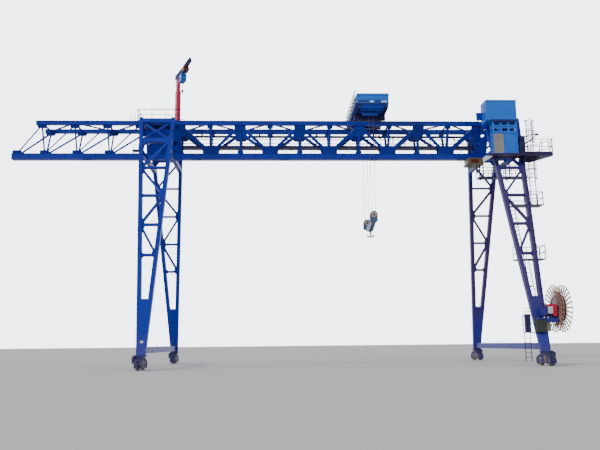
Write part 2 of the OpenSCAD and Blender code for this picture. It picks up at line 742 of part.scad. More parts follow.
// Landing and boxes at the foot of the front right leg
foot_z = 2090;
module foot_landing() color(deep_blue) {
    x0 = right_x - 1100;
    x1 = leg_side(1, -1, foot_z);
    y0 = -leg_y(foot_z) - 300;
    y1 = y0 + 600;
    union() {
        block([x0, y0, foot_z - land_t], [x1, y1, foot_z]);
        for (x = [x0 + 60, x0 + 440]) block([x, y1 - 50, 250], [x + 40, y1, foot_z - land_t + 1]);
        for (z = [500 : 300 : foot_z - 200]) block([x0 + 60, y1 - 40, z], [x0 + 480, y1 - 10, z + 30]);
    }
    railing_runs([[leg_side(1, -1, foot_z + railing_h) - rail_t, y0 + rail_t / 2], [x0 + rail_t / 2, y0 + rail_t / 2],
                  [x0 + rail_t / 2, y1 - rail_t / 2]], foot_z, railing_h);
}

module foot_cabinets() color(azure) {
    for (c = [[-240, 280, 2080, 2840, 300], [80, 500, 2960, 3720, 320]])
        block([right_x + c[0], -leg_outer_y(c[2]) - c[4], c[2]], [right_x + c[1], -leg_outer_y(c[2]), c[3]]);
}

// Cable track beside the rear top chord, and the cables that hang from it in loops
festoon_y = 1400;
track_z = top_z - 520;
track_h = 160;
track_w = 100;
loops = 7;
loop_bottom = 16200;
festoon_r = 22;
tow_x = trolley_x + 1180;
loop_pitch = (span_x1 - 125 - tow_x) / loops;
clamp_h = 80;
module festoon_track() color(deep_blue) union() {
    block([span_x0 + 170, festoon_y - track_w / 2, track_z], [span_x1 + 170, festoon_y + track_w / 2, track_z + track_h]);
    for (i = [0 : span_panels / 2 - 1]) translate([span_x0 + panel * (2 * i + 0.63), 0, 0])
        block([-60, chord_y + top_chord_w / 2 + seat, track_z + track_h - 20],
              [60, festoon_y + track_w / 2, top_z - 60]);
    for (i = [0 : loops]) translate([tow_x + i * loop_pitch, festoon_y, track_z])
        block([-45, -30, -clamp_h], [45, 30, 1]);
}

module festoon_cables() color("black") {
    r = loop_pitch / 2 - 25;
    z = loop_bottom + r + festoon_r;
    for (i = [0 : loops - 1]) translate([tow_x + (i + 0.5) * loop_pitch, festoon_y, 0]) union() {
        for (d = [-1, 1]) translate([d * r, 0, z]) cylinder(r = festoon_r, h = track_z - clamp_h - z, $fn = 24);
        translate([0, 0, z]) rotate([90, 0, 0]) rotate(180)
            rotate_extrude(angle = 180, $fn = 48) translate([r, 0]) circle(r = festoon_r, $fn = 24);
    }
}

// Cable reel on the front right leg
reel_x = right_x + 1300;
reel_y = -6700;
hub_r = 210;
drive_z = reel_z - 200;
reel_pin_r = 60;
reel_gap = 60;
module reel_bracket() color(blue) {
    leg_c = -leg_y(reel_z - 450);
    x1 = reel_x - reel_t / 2 - reel_gap;
    union() {
        block([leg_side(1, 1, reel_z - 350), leg_c - 150, reel_z - 600], [x1, leg_c + 260, reel_z - 350]);
        block([x1 - 400, reel_y - 200, reel_z - 600], [x1, leg_c + 260, reel_z - 350]);
        block([x1 - 400, reel_y - 200, reel_z - 360], [x1, reel_y + 200, drive_z]);
    }
}

// Gear housing of the reel, with the pin that carries the hub
module reel_drive() color(crimson) {
    x1 = reel_x - reel_t / 2 - reel_gap;
    motor_x = leg_side(1, 1, reel_z + 300) + 30;
    union() {
        block([x1 - 480, reel_y - 230, drive_z], [x1, reel_y + 230, reel_z + 280]);
        translate([(motor_x + x1) / 2, reel_y, reel_z + 60]) round_x(120, x1 - motor_x);
        translate([(x1 + reel_x) / 2 - 10, reel_y, reel_z]) round_x(reel_pin_r, reel_x - x1 + 20);
    }
}

spokes = 26;
spoke_w = 30;
reel_rim = 40;
side_t = 24;
// One side of the reel, drawn flat: rim, coil ring, hub ring and spokes
module reel_side() {
    for (r = [reel_r, coil_r + 20, hub_r + 30]) difference() {
        circle(r = r, $fn = 96);
        circle(r = r - reel_rim, $fn = 96);
    }
    for (i = [0 : spokes - 1]) rotate((i + 0.5) * 360 / spokes)
        translate([hub_r - 10, -spoke_w / 2]) square([reel_r - hub_r - reel_rim / 2, spoke_w]);
}

// The sheet that a side is cut from: flat beside the coil, flared beyond it; d is 1 for the +X side
module reel_sheet(d) {
    a = reel_t / 2;
    b = reel_flare / 2;
    rotate_extrude($fn = 96)
        polygon([[hub_r - 20, d * (a - side_t)], [coil_r, d * (a - side_t)], [reel_r + 1, d * (b - side_t)],
                 [reel_r + 1, d * b], [coil_r, d * a], [hub_r - 20, d * a]]);
}

module reel_wheel() color(dark) {
    translate([reel_x, reel_y, reel_z]) rotate([0, 90, 0]) union() {
        difference() {
            cylinder(r = hub_r, h = reel_t, center = true, $fn = 64);
            translate([0, 0, -1]) cylinder(r = reel_pin_r + seat, h = reel_t + 10, center = true, $fn = 64);
        }
        for (d = [-1, 1]) intersection() {
            reel_sheet(d);
            linear_extrude(height = 2 * reel_flare, center = true) reel_side();
        }
    }
}

module reel_cable() color("brown") {
    translate([reel_x, reel_y, reel_z]) rotate([0, 90, 0])
        rotate_extrude($fn = 96) translate([hub_r + seat, -reel_t / 2 + side_t + seat])
            square([coil_r - hub_r, reel_t - 2 * (side_t + seat)]);
}

// Platform, railing and jib crane on the left head
jib_x = left_x + 900;
module top_platform_left() color(deep_blue) {
    x0 = head_left_x - leg_top_w / 2 - 330;
    x1 = head_left_x + leg_top_w / 2 + platform_out;
    y = chord_y + top_chord_w / 2;
    block([x0, -y, top_z], [x1, y, top_z + 50]);
    railing_runs([[x1, -y + 20], [x0 + 20, -y + 20], [x0 + 20, y - 20], [x1, y - 20]], top_z + 50, 850);
}

post_r = 165;
module jib_post() color(crimson) {
    translate([jib_x, 0, top_z + 50]) union() {
        cylinder(r = 260, h = 30, $fn = 48);
        cylinder(r = post_r, h = jib_post_h, $fn = 48);
        translate([0, 0, jib_post_h * 0.7]) cylinder(r = 230, h = 60, $fn = 48);
    }
}

jib_z = top_z + 50 + jib_post_h;
jib_angle = -68;
module jib_arm() color(deep_blue) {
    translate([jib_x, 0, jib_z + seat]) rotate(jib_angle) union() {
        cylinder(r = 200, h = 320, $fn = 48);
        block([-400, -90, 140], [jib_l, 90, 170]);
        block([-400, -90, 410], [jib_l, 90, 440]);
        block([-400, -12, 140], [jib_l, 12, 440]);
    }
}

module jib_hoist() color(blue) {
    translate([jib_x, 0, jib_z + seat]) rotate(jib_angle) union() {
        block([900, -200, -640], [1600, 200, -60]);
        block([1100, -80, -60], [1400, 80, 140]);
        translate([1250, 0, -1250]) cylinder(r = 14, h = 620, $fn = 24);
        block([1170, -60, -1420], [1330, 60, -1240]);
    }
}

// Trolley
t_rail_top = top_z + rail_h;
t_axle_z = t_rail_top + trolley_wheel_d / 2 + seat;
house_z = top_z + trolley_floor;
frame_w = 2330;
floor_t = 80;
floor_out = 180;
tow_y = festoon_y + track_w;
module trolley_frame() color(deep_blue) {
    translate([trolley_x, 0, 0]) union() {
        for (s = [-1, 1]) difference() {
            block([-frame_w / 2, s * chord_y - 130, t_rail_top + 60], [frame_w / 2, s * chord_y + 130, house_z]);
            for (e = [-1, 1]) translate([e * 800, s * chord_y, t_axle_z]) {
                round_y(trolley_wheel_d / 2 + 30, 110);
                translate([0, 0, -trolley_wheel_d / 2]) cube([trolley_wheel_d + 60, 110, trolley_wheel_d], center = true);
            }
        }
        for (e = [-1, 1])
            block([e * (frame_w / 2 - 150) - 100, -trolley_l / 2 + 60, house_z - 260],
                  [e * (frame_w / 2 - 150) + 100, trolley_l / 2 - 60, house_z]);
        block([-trolley_w / 2 - floor_out, -trolley_l / 2, house_z], [trolley_w / 2, trolley_l / 2, house_z + floor_t]);
        // Arm that tows the cable loops
        block([1060, chord_y, house_z - 200], [1140, tow_y + 60, house_z - 120]);
        block([1060, tow_y, track_z + 20], [1140, tow_y + 60, house_z - 120]);
    }
}

module trolley_wheels() color(dark) {
    for (s = [-1, 1]) for (e = [-1, 1])
        translate([trolley_x + e * 800, s * chord_y, t_axle_z]) union() {
            round_y(trolley_wheel_d / 2, 90);
            round_y(35, 110);
        }
}

module trolley_house() color(azure) {
    translate([trolley_x, 0, 0])
        block([-trolley_w / 2, -trolley_l / 2, house_z + floor_t], [trolley_w / 2, trolley_l / 2, house_z + floor_t + trolley_h]);
}

module trolley_railing() color(deep_blue) {
    y = trolley_l / 2 - 20;
    translate([trolley_x - trolley_w / 2 - floor_out + 30, 0, 0])
        railing([0, -y], [0, y], house_z + floor_t, 1000);
}

// Hoist
module hoist_ropes() color(dark) {
    for (s = [-1, 1]) for (e = [-1, 1])
        translate([trolley_x + e * rope_gap / 2, s * rope_y, block_z])
            cylinder(r = rope_d / 2, h = house_z - block_z, $fn = 8);
}

sheave_r = rope_gap / 2;
plate_t = 30;
block_half = 160;
cheek_r = 275;
beam_top = -380;
beam_low = -900;
module hook_block() color(blue) {
    translate([trolley_x, 0, block_z]) union() {
        y = rope_y + block_half;
        rotate([90, 0, 90]) linear_extrude(height = 300, center = true)
            polygon([[-y, beam_top], [-y, beam_top - 140], [-450, beam_low], [450, beam_low],
                     [y, beam_top - 140], [y, beam_top]]);
        for (s = [-1, 1]) for (f = [-1, 1])
            translate([0, s * rope_y + f * (block_half - plate_t / 2), 0]) {
                block([-cheek_r, -plate_t / 2, beam_top - 120], [cheek_r, plate_t / 2, 0]);
                round_y(cheek_r, plate_t);
            }
    }
}

pin_r = 50;
module block_sheaves() color("tan") {
    for (s = [-1, 1]) translate([trolley_x, s * rope_y, block_z]) union() {
        round_y(sheave_r - rope_d / 2 - seat, 70);
        round_y(pin_r, 2 * (block_half - plate_t));
    }
}

shank_r = 50;
horn_r = 105;
module hook() color(dark) {
    z = -hook_drop + horn_r + shank_r;
    translate([trolley_x, 0, block_z]) union() {
        translate([0, 0, z]) cylinder(r = shank_r, h = beam_low - seat - z, $fn = 48);
        translate([0, 0, beam_low - seat - 70]) cylinder(r = 95, h = 70, $fn = 48);
        for (s = [-1, 1]) {
            translate([s * horn_r, 0, z]) rotate([90, 0, 0]) rotate(180)
                rotate_extrude(angle = 180, $fn = 48) translate([horn_r, 0]) circle(r = shank_r, $fn = 24);
            translate([s * 2 * horn_r, 0, z]) cylinder(r1 = shank_r, r2 = 20, h = 135, $fn = 24);
        }
    }
}

bottom_chord();
top_chord(-1);  // top_chord_front
top_chord(1);  // top_chord_rear
lattice(-1);  // front_lattice
lattice(1);  // rear_lattice
top_bracing();
trolley_rails();
walkway_deck();
walkway_railings();
leg(-1, -1);  // leg_front_left
leg(-1, 1);  // leg_rear_left
leg(1, -1);  // leg_front_right
leg(1, 1);  // leg_rear_right
head_frame(-1);  // head_frame_left
head_frame(1);  // head_frame_right
sill_beam(left_x);  // sill_beam_left
sill_beam(right_x);  // sill_beam_right
bogie(-1, -1);  // bogie_front_left
bogie(-1, 1);  // bogie_rear_left
bogie(1, -1);  // bogie_front_right
bogie(1, 1);  // bogie_rear_right
travel_drives();
crane_wheel(-1, -1, -1);  // wheel_front_left_a
crane_wheel(-1, -1, 1);  // wheel_front_left_b
crane_wheel(-1, 1, -1);  // wheel_rear_left_a
crane_wheel(-1, 1, 1);  // wheel_rear_left_b
crane_wheel(1, -1, -1);  // wheel_front_right_a
crane_wheel(1, -1, 1);  // wheel_front_right_b
crane_wheel(1, 1, -1);  // wheel_rear_right_a
crane_wheel(1, 1, 1);  // wheel_rear_right_b
service_platform();
platform_railing();
electrical_house();
cabinet_rack();
upper_cabinet();
under_gangway();
leg_landings();
leg_ladders();
ladder_cage();
foot_landing();
foot_cabinets();
festoon_track();
festoon_cables();
reel_bracket();
reel_drive();
reel_wheel();
reel_cable();
top_platform_left();
jib_post();
jib_arm();
jib_hoist();
trolley_frame();
trolley_wheels();
trolley_house();
trolley_railing();
hoist_ropes();
hook_block();
block_sheaves();
hook();
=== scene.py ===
"""Looks of the rail-mounted gantry crane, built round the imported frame, in metres."""
import json
from math import atan, atan2, cos, pi, radians, sin

import bmesh
import bpy
from mathutils import Matrix, Vector


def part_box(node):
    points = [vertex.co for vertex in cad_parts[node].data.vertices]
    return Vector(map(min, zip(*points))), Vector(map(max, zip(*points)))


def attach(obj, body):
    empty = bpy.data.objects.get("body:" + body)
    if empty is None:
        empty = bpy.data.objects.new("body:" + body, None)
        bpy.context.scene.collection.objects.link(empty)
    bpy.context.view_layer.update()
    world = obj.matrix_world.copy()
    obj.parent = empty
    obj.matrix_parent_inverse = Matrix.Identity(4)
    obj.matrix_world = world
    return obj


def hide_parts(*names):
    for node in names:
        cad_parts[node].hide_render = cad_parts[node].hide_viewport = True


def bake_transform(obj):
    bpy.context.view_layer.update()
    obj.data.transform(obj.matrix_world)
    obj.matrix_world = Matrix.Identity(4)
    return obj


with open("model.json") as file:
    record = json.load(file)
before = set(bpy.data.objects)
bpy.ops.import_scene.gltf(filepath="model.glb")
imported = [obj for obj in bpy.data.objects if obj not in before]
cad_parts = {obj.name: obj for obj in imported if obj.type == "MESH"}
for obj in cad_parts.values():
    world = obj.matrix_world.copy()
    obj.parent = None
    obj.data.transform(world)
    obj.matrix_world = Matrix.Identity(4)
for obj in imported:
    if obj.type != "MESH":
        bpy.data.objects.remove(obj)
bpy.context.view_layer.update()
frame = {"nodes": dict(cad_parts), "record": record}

# Camera: where the photograph was taken from
EYE = Vector((-0.335, -50.875, 1.526))
YAW = radians(2.377)
PITCH = radians(9.638)
ROLL = radians(-0.59)
LENS = 41.8

# The axes, both ways from a middle, and both ways twice, such as the sides and ends of the crane
X, Y, Z = range(3)
SIDES = (-1, 1)
PAIRS = [(a, b) for a in SIDES for b in SIDES]

# Legs, as the frame has them
LEFT = -8.3
RIGHT = 16.7
LEAN = {-1: 0.24, 1: 0.11}
FOOT_Z = 0.9
FOOT_Y = 7.4
TOP_Y = 2.1
TOP_Z = 17.8
LEG_FOOT_W = 0.56
LEG_TOP_W = 2.6
LEG_RISE = TOP_Z - FOOT_Z
LEG_TILT = atan((FOOT_Y - TOP_Y) / LEG_RISE)
LEG_D = 0.36
TRUNK_TOP = 4.34
COLUMN_W = 0.27
FIRST_CROSS = 7.3
CROSS_HALF = 0.07
LANDING_Z = 6.97

# Bogies and drives
AXLE_Z = 0.27
AXLE_Y = 0.75
BOGIE_HALF = 0.22
MOTOR_Z = 0.74

# Girder
CHORD_TOP = 15.58
CHORD_LOW = 15.14
CHORD_HALF = 0.25
UPPER_LOW = 17.5
UPPER_HALF = 0.11
CHORD_Y = 1.05
RIB_OUT = 0.029
FACE_FOOT = 0.2
FACE_TILT = atan((CHORD_Y - FACE_FOOT) / (UPPER_LOW - CHORD_TOP))
FACE_V = (UPPER_LOW - CHORD_TOP) / cos(FACE_TILT)
BAR_OUT = 0.055
GUSSET_OUT = 0.015
PANEL = 2.22
SPAN_N = 10
SPAN_X = -7.075
SPAN_END = SPAN_X + SPAN_N * PANEL
CANT_PANEL = 2.37
CANT_XS = [-9.99 - i * CANT_PANEL for i in range(4)] + [-19.1]
SPLICE_XS = (-14.0, -5.9, 0.7, 7.36, 14.02)

# Trolley, its rope falls, the long block and the festoon
TROLLEY_X = 7.02
FALL_X = 0.15
FALL_Y = 1.8
SHEAVE_Z = 10.6
FESTOON_Y = 1.4

# Service platform and cable reel
DECK_Z = 14.55
SPOKES = 26
REEL_RIM = 1.47
CABLE_R = 0.03
HUB_R = 0.215

# Colours that dirt and rust bring, and the mauve of painted shade on the right-hand legs
MAUVE_PAINTED_SHADE = (0.05, 0.028, 0.09)
STREAK = (0.05, 0.045, 0.06)
MUD = (0.16, 0.12, 0.09)
RUST_SPECK = (0.2, 0.08, 0.04)
RUST = (0.22, 0.09, 0.04)
CABLE_DUST = (0.2, 0.13, 0.1)
GLASS_DUST = (0.6, 0.6, 0.6)


def leg_y(z):
    """Distance of a leg's centre plane from the middle of the bridge, at a height."""
    return FOOT_Y - (FOOT_Y - TOP_Y) * (z - FOOT_Z) / LEG_RISE


def leg_half(z):
    """Half of a leg's width at a height."""
    return (LEG_FOOT_W + (LEG_TOP_W - LEG_FOOT_W) * (z - FOOT_Z) / LEG_RISE) / 2


def leg_mid(side, z):
    """Place along the bridge of a left (-1) or right (1) leg's middle, at a height."""
    return (LEFT if side < 0 else RIGHT) - LEAN[side] * (z - FOOT_Z) / LEG_RISE


def linked(name, data):
    """A new object, put into the scene."""
    obj = bpy.data.objects.new(name, data)
    bpy.context.collection.objects.link(obj)
    return obj


def camera():
    """A camera at the photograph's place and angle."""
    right = Vector((cos(YAW), -sin(YAW), 0))
    level = Vector((sin(YAW), cos(YAW), 0))
    rise = Vector((0, 0, 1))
    ahead = level * cos(PITCH) + rise * sin(PITCH)
    up = rise * cos(PITCH) - level * sin(PITCH)
    x = right * cos(ROLL) + up * sin(ROLL)
    y = up * cos(ROLL) - right * sin(ROLL)
    data = bpy.data.cameras.new("camera")
    data.lens = LENS
    data.clip_end = 1000
    obj = linked("camera", data)
    turn = Matrix((x, y, -ahead)).transposed()
    obj.matrix_world = Matrix.Translation(EYE) @ turn.to_4x4()
    bpy.context.scene.camera = obj


def stage():
    """A plain pale floor, soft light from the front left and a bright even sky."""
    mesh = bpy.data.meshes.new("floor")
    half = 400
    corners = [(-half, -half, 0), (half, -half, 0), (half, half, 0), (-half, half, 0)]
    mesh.from_pydata(corners, [], [(0, 1, 2, 3)])
    floor = linked("floor", mesh)
    mesh.materials.append(plain("floor_finish", (0.55, 0.54, 0.54), 0.9))
    world = bpy.data.worlds.new("sky")
    world.use_nodes = True
    tree = world.node_tree
    light = tree.nodes["Background"]
    light.inputs["Color"].default_value = (0.9, 0.94, 1.0, 1)
    path = tree.nodes.new("ShaderNodeLightPath")
    strength = None
    for socket, factor in (("Is Camera Ray", 4.0), ("Is Glossy Ray", 0.5)):
        node = tree.nodes.new("ShaderNodeMath")
        node.operation = "MULTIPLY_ADD"
        tree.links.new(path.outputs[socket], node.inputs[0])
        node.inputs[1].default_value = factor
        node.inputs[2].default_value = 0.8
        if strength:
            tree.links.new(strength, node.inputs[2])
        strength = node.outputs[0]
    tree.links.new(strength, light.inputs["Strength"])
    bpy.context.scene.world = world
    data = bpy.data.lights.new("key", "SUN")
    data.energy = 2.3
    data.angle = radians(12)
    data.color = (1, 0.94, 0.88)
    key = linked("key", data)
    key.rotation_euler = Vector((-0.85, -0.5, 0.42)).to_track_quat("Z", "Y").to_euler()


def plain(name, colour, rough):
    """A material of one colour, for the stage alone."""
    mat = bpy.data.materials.new(name)
    mat.use_nodes = True
    bsdf = mat.node_tree.nodes["Principled BSDF"]
    bsdf.inputs["Base Color"].default_value = (*colour, 1)
    bsdf.inputs["Roughness"].default_value = rough
    return mat


FINISHES = {}


class Tree:
    """Short calls for building a material's nodes. Each one is kept in FINISHES by its name."""

    def __init__(self, name):
        mat = bpy.data.materials.new(name)
        mat.use_nodes = True
        self.nodes = mat.node_tree.nodes
        self.links = mat.node_tree.links
        self.bsdf = self.nodes["Principled BSDF"]
        self.place = self.nodes.new("ShaderNodeTexCoord").outputs["Object"]
        FINISHES[name] = mat

    def put(self, kind, **inputs):
        node = self.nodes.new(kind)
        for key, value in inputs.items():
            self.set(node, key, value)
        return node

    def set(self, node, key, value):
        """Links or sets a socket: by its name with _ for spaces, or as i and its number."""
        by_number = key[0] == "i" and key[1:].isdigit()
        socket = node.inputs[int(key[1:]) if by_number else key.replace("_", " ")]
        if isinstance(value, bpy.types.NodeSocket):
            self.links.new(value, socket)
        else:
            socket.default_value = value

    def look(self, **inputs):
        """Links or sets the shader's own sockets."""
        for key, value in inputs.items():
            self.set(self.bsdf, key, value)

    def noise(self, scale, detail=4.0, rough=0.55, stretch=(1, 1, 1)):
        at = self.put("ShaderNodeMapping", Vector=self.place, Scale=stretch).outputs[0]
        node = self.put("ShaderNodeTexNoise", Vector=at, Scale=scale, Detail=detail, Roughness=rough)
        return node.outputs[0]

    def ramp(self, value, low, high, out_low=0.0, out_high=1.0):
        node = self.nodes.new("ShaderNodeMapRange")
        self.set(node, "Value", value)
        for key, number in (("From Min", low), ("From Max", high), ("To Min", out_low), ("To Max", out_high)):
            node.inputs[key].default_value = number
        return node.outputs[0]

    def times(self, a, b):
        node = self.nodes.new("ShaderNodeMath")
        node.operation = "MULTIPLY"
        self.set(node, "i0", a)
        self.set(node, "i1", b)
        return node.outputs[0]

    def along(self, axis):
        """Place on an axis, in metres: X along the bridge, Z above the rails."""
        return self.put("ShaderNodeSeparateXYZ", Vector=self.place).outputs[axis]

    def mix(self, factor, a, b):
        """A blend of two colours, each three numbers or a socket."""
        node = self.nodes.new("ShaderNodeMix")
        node.data_type = "RGBA"
        self.set(node, "i0", factor)
        for key, colour in (("i6", a), ("i7", b)):
            self.set(node, key, (*colour, 1) if isinstance(colour, tuple) else colour)
        return node.outputs[2]

    def bump(self, height, strength, distance):
        node = self.put("ShaderNodeBump", Height=height, Strength=strength, Distance=distance)
        self.links.new(node.outputs[0], self.bsdf.inputs["Normal"])


def paint(name, colour, faded, dirt=0.25, rough=0.35, splash=0.5, right_shade=0.0, coat=0.55):
    """Weathered gloss paint: patchy fading, dirt run down in streaks, rust specks, mud near the rails.
    One argument sets how much mauve is painted on the right-hand legs below the girder, as painted shade."""
    t = Tree(name)
    base = t.mix(t.ramp(t.noise(0.7), 0.35, 0.7), colour, faded)
    # Painted shade: mauve over the right-hand legs below the girder, stronger from 5 m up than near the
    # ground.
    if right_shade:
        on_right = t.ramp(t.along(X), 12.5, 15.0)
        below = t.ramp(t.along(Z), 15.4, 13.2)
        above = t.ramp(t.along(Z), 1.8, 5.0, right_shade * 0.25, right_shade)
        base = t.mix(t.times(t.times(on_right, below), above), base, MAUVE_PAINTED_SHADE)
    streaks = t.ramp(t.noise(2.2, 6, stretch=(5, 5, 0.35)), 0.5, 0.78, 0, dirt)
    base = t.mix(streaks, base, STREAK)
    low = t.ramp(t.along(Z), 0.3, 2.6, splash, 0)
    mud = t.times(low, t.ramp(t.noise(5, 8, 0.65), 0.3, 0.7))
    base = t.mix(mud, base, MUD)
    specks = t.ramp(t.noise(9, 8, 0.7), 0.68, 0.8, 0, dirt)
    t.look(Base_Color=t.mix(specks, base, RUST_SPECK))
    t.look(Roughness=t.ramp(t.noise(3), 0.3, 0.7, rough - 0.08, rough + 0.18))
    t.look(Specular_IOR_Level=0.15, Coat_Weight=coat, Coat_Roughness=0.18, Coat_IOR=1.33)
    t.bump(t.noise(14, 5), 0.15, 0.006)


def steel(name, colour, rough, rust=0.3):
    """Bare or greased steel with rust in patches."""
    t = Tree(name)
    t.look(Base_Color=t.mix(t.ramp(t.noise(4, 8, 0.65), 0.5, 0.68, 0, rust), colour, RUST), Metallic=0.8)
    t.look(Roughness=t.ramp(t.noise(7), 0.3, 0.7, rough - 0.1, rough + 0.15))
    t.bump(t.noise(30, 6), 0.3, 0.004)


def rubber(name, colour):
    """Dusty cable sheath."""
    t = Tree(name)
    t.look(Base_Color=t.mix(t.ramp(t.noise(6, 6), 0.4, 0.75, 0, 0.5), colour, CABLE_DUST), Roughness=0.75)
    t.bump(t.noise(40, 4), 0.3, 0.003)


def grating(name, colour, gap=(0.01, 0.01, 0.02)):
    """Open mesh decking: bars close together, drawn as fine grooves."""
    t = Tree(name)
    wave = t.put("ShaderNodeTexWave", Vector=t.place, Scale=12.0)
    wave.bands_direction = "X"
    t.look(Base_Color=t.mix(t.ramp(wave.outputs[1], 0.4, 0.6), colour, gap), Roughness=0.6)
    t.bump(wave.outputs[1], 0.5, 0.01)


def glass(name, colour):
    """Window pane that mirrors the bright sky."""
    t = Tree(name)
    t.look(Base_Color=t.mix(t.ramp(t.noise(5, 5), 0.4, 0.8, 0, 0.3), colour, GLASS_DUST))
    t.look(Roughness=t.ramp(t.noise(8), 0.3, 0.7, 0.04, 0.14), Coat_Weight=1.0)


def make_finishes():
    """The record's slots first, then the finishes that only added pieces have."""
    # The girder paint carries painted mauve shade on the right-hand legs.
    paint("blue_paint", (0.0, 0.014, 0.27), (0.001, 0.024, 0.36), right_shade=0.8, coat=0.3)
    paint("azure_paint", (0.008, 0.12, 0.56), (0.012, 0.15, 0.62), 0.12)
    paint("navy_paint", (0.012, 0.014, 0.07), (0.02, 0.02, 0.1), coat=0.15)
    paint("bogie_paint", (0.003, 0.013, 0.1), (0.008, 0.022, 0.14), 0.5, 0.5, 0.5, coat=0.05)
    paint("red_paint", (0.48, 0.006, 0.05), (0.55, 0.02, 0.09), 0.2)
    paint("block_paint", (0.02, 0.055, 0.15), (0.05, 0.1, 0.2), 0.6)
    paint("sheave_paint", (0.36, 0.26, 0.17), (0.45, 0.34, 0.22), 0.5)
    steel("rail_steel", (0.2, 0.19, 0.18), 0.45)
    steel("rope_steel", (0.1, 0.1, 0.11), 0.5, 0.1)
    steel("hook_steel", (0.1, 0.09, 0.09), 0.5, 0.2)
    steel("reel_steel", (0.5, 0.36, 0.3), 0.55, 0.5)
    rubber("cable_rubber", (0.05, 0.03, 0.028))
    paint("louvre_paint", (0.3, 0.29, 0.27), (0.38, 0.36, 0.33), 0.5)
    paint("pale_paint", (0.62, 0.63, 0.66), (0.7, 0.7, 0.72), 0.3)
    paint("olive_paint", (0.13, 0.1, 0.05), (0.18, 0.14, 0.08), 0.5)
    paint("yellow_paint", (0.65, 0.38, 0.03), (0.7, 0.45, 0.06), 0.4)
    grating("deck_grating", (0.03, 0.04, 0.1))
    rubber("coil_rubber", (0.12, 0.03, 0.02))
    paint("moss_paint", (0.02, 0.03, 0.025), (0.035, 0.045, 0.04), 0.5, coat=0.2)
    # Painted light: a brighter blue for the trolley's underside, which gets little light from below.
    paint("under_painted_light", (0.02, 0.075, 0.55), (0.03, 0.09, 0.6), 0.15)
    paint("maroon_paint", (0.1, 0.012, 0.012), (0.14, 0.02, 0.02), 0.5, coat=0.2)
    paint("prong_steel", (0.3, 0.15, 0.1), (0.38, 0.2, 0.14), 0.5, coat=0.1)
    paint("spoke_steel", (0.45, 0.42, 0.46), (0.55, 0.5, 0.53), 0.5, coat=0.1)
    glass("pane", (0.72, 0.78, 0.85))


BOX_FACES = [(0, 1, 3, 2), (4, 6, 7, 5), (0, 4, 5, 1), (2, 3, 7, 6), (0, 2, 6, 4), (1, 5, 7, 3)]
HERE = Matrix.Identity(4)


def placed(point, angle=0.0, axis="Z"):
    """Matrix at a point, turned about an axis."""
    return Matrix.Translation(point) @ Matrix.Rotation(angle, 4, axis)


def dressed(name, mesh, finish):
    """An object in the scene with one finish."""
    mesh.materials.clear()
    mesh.materials.append(FINISHES[finish])
    return linked(name, mesh)


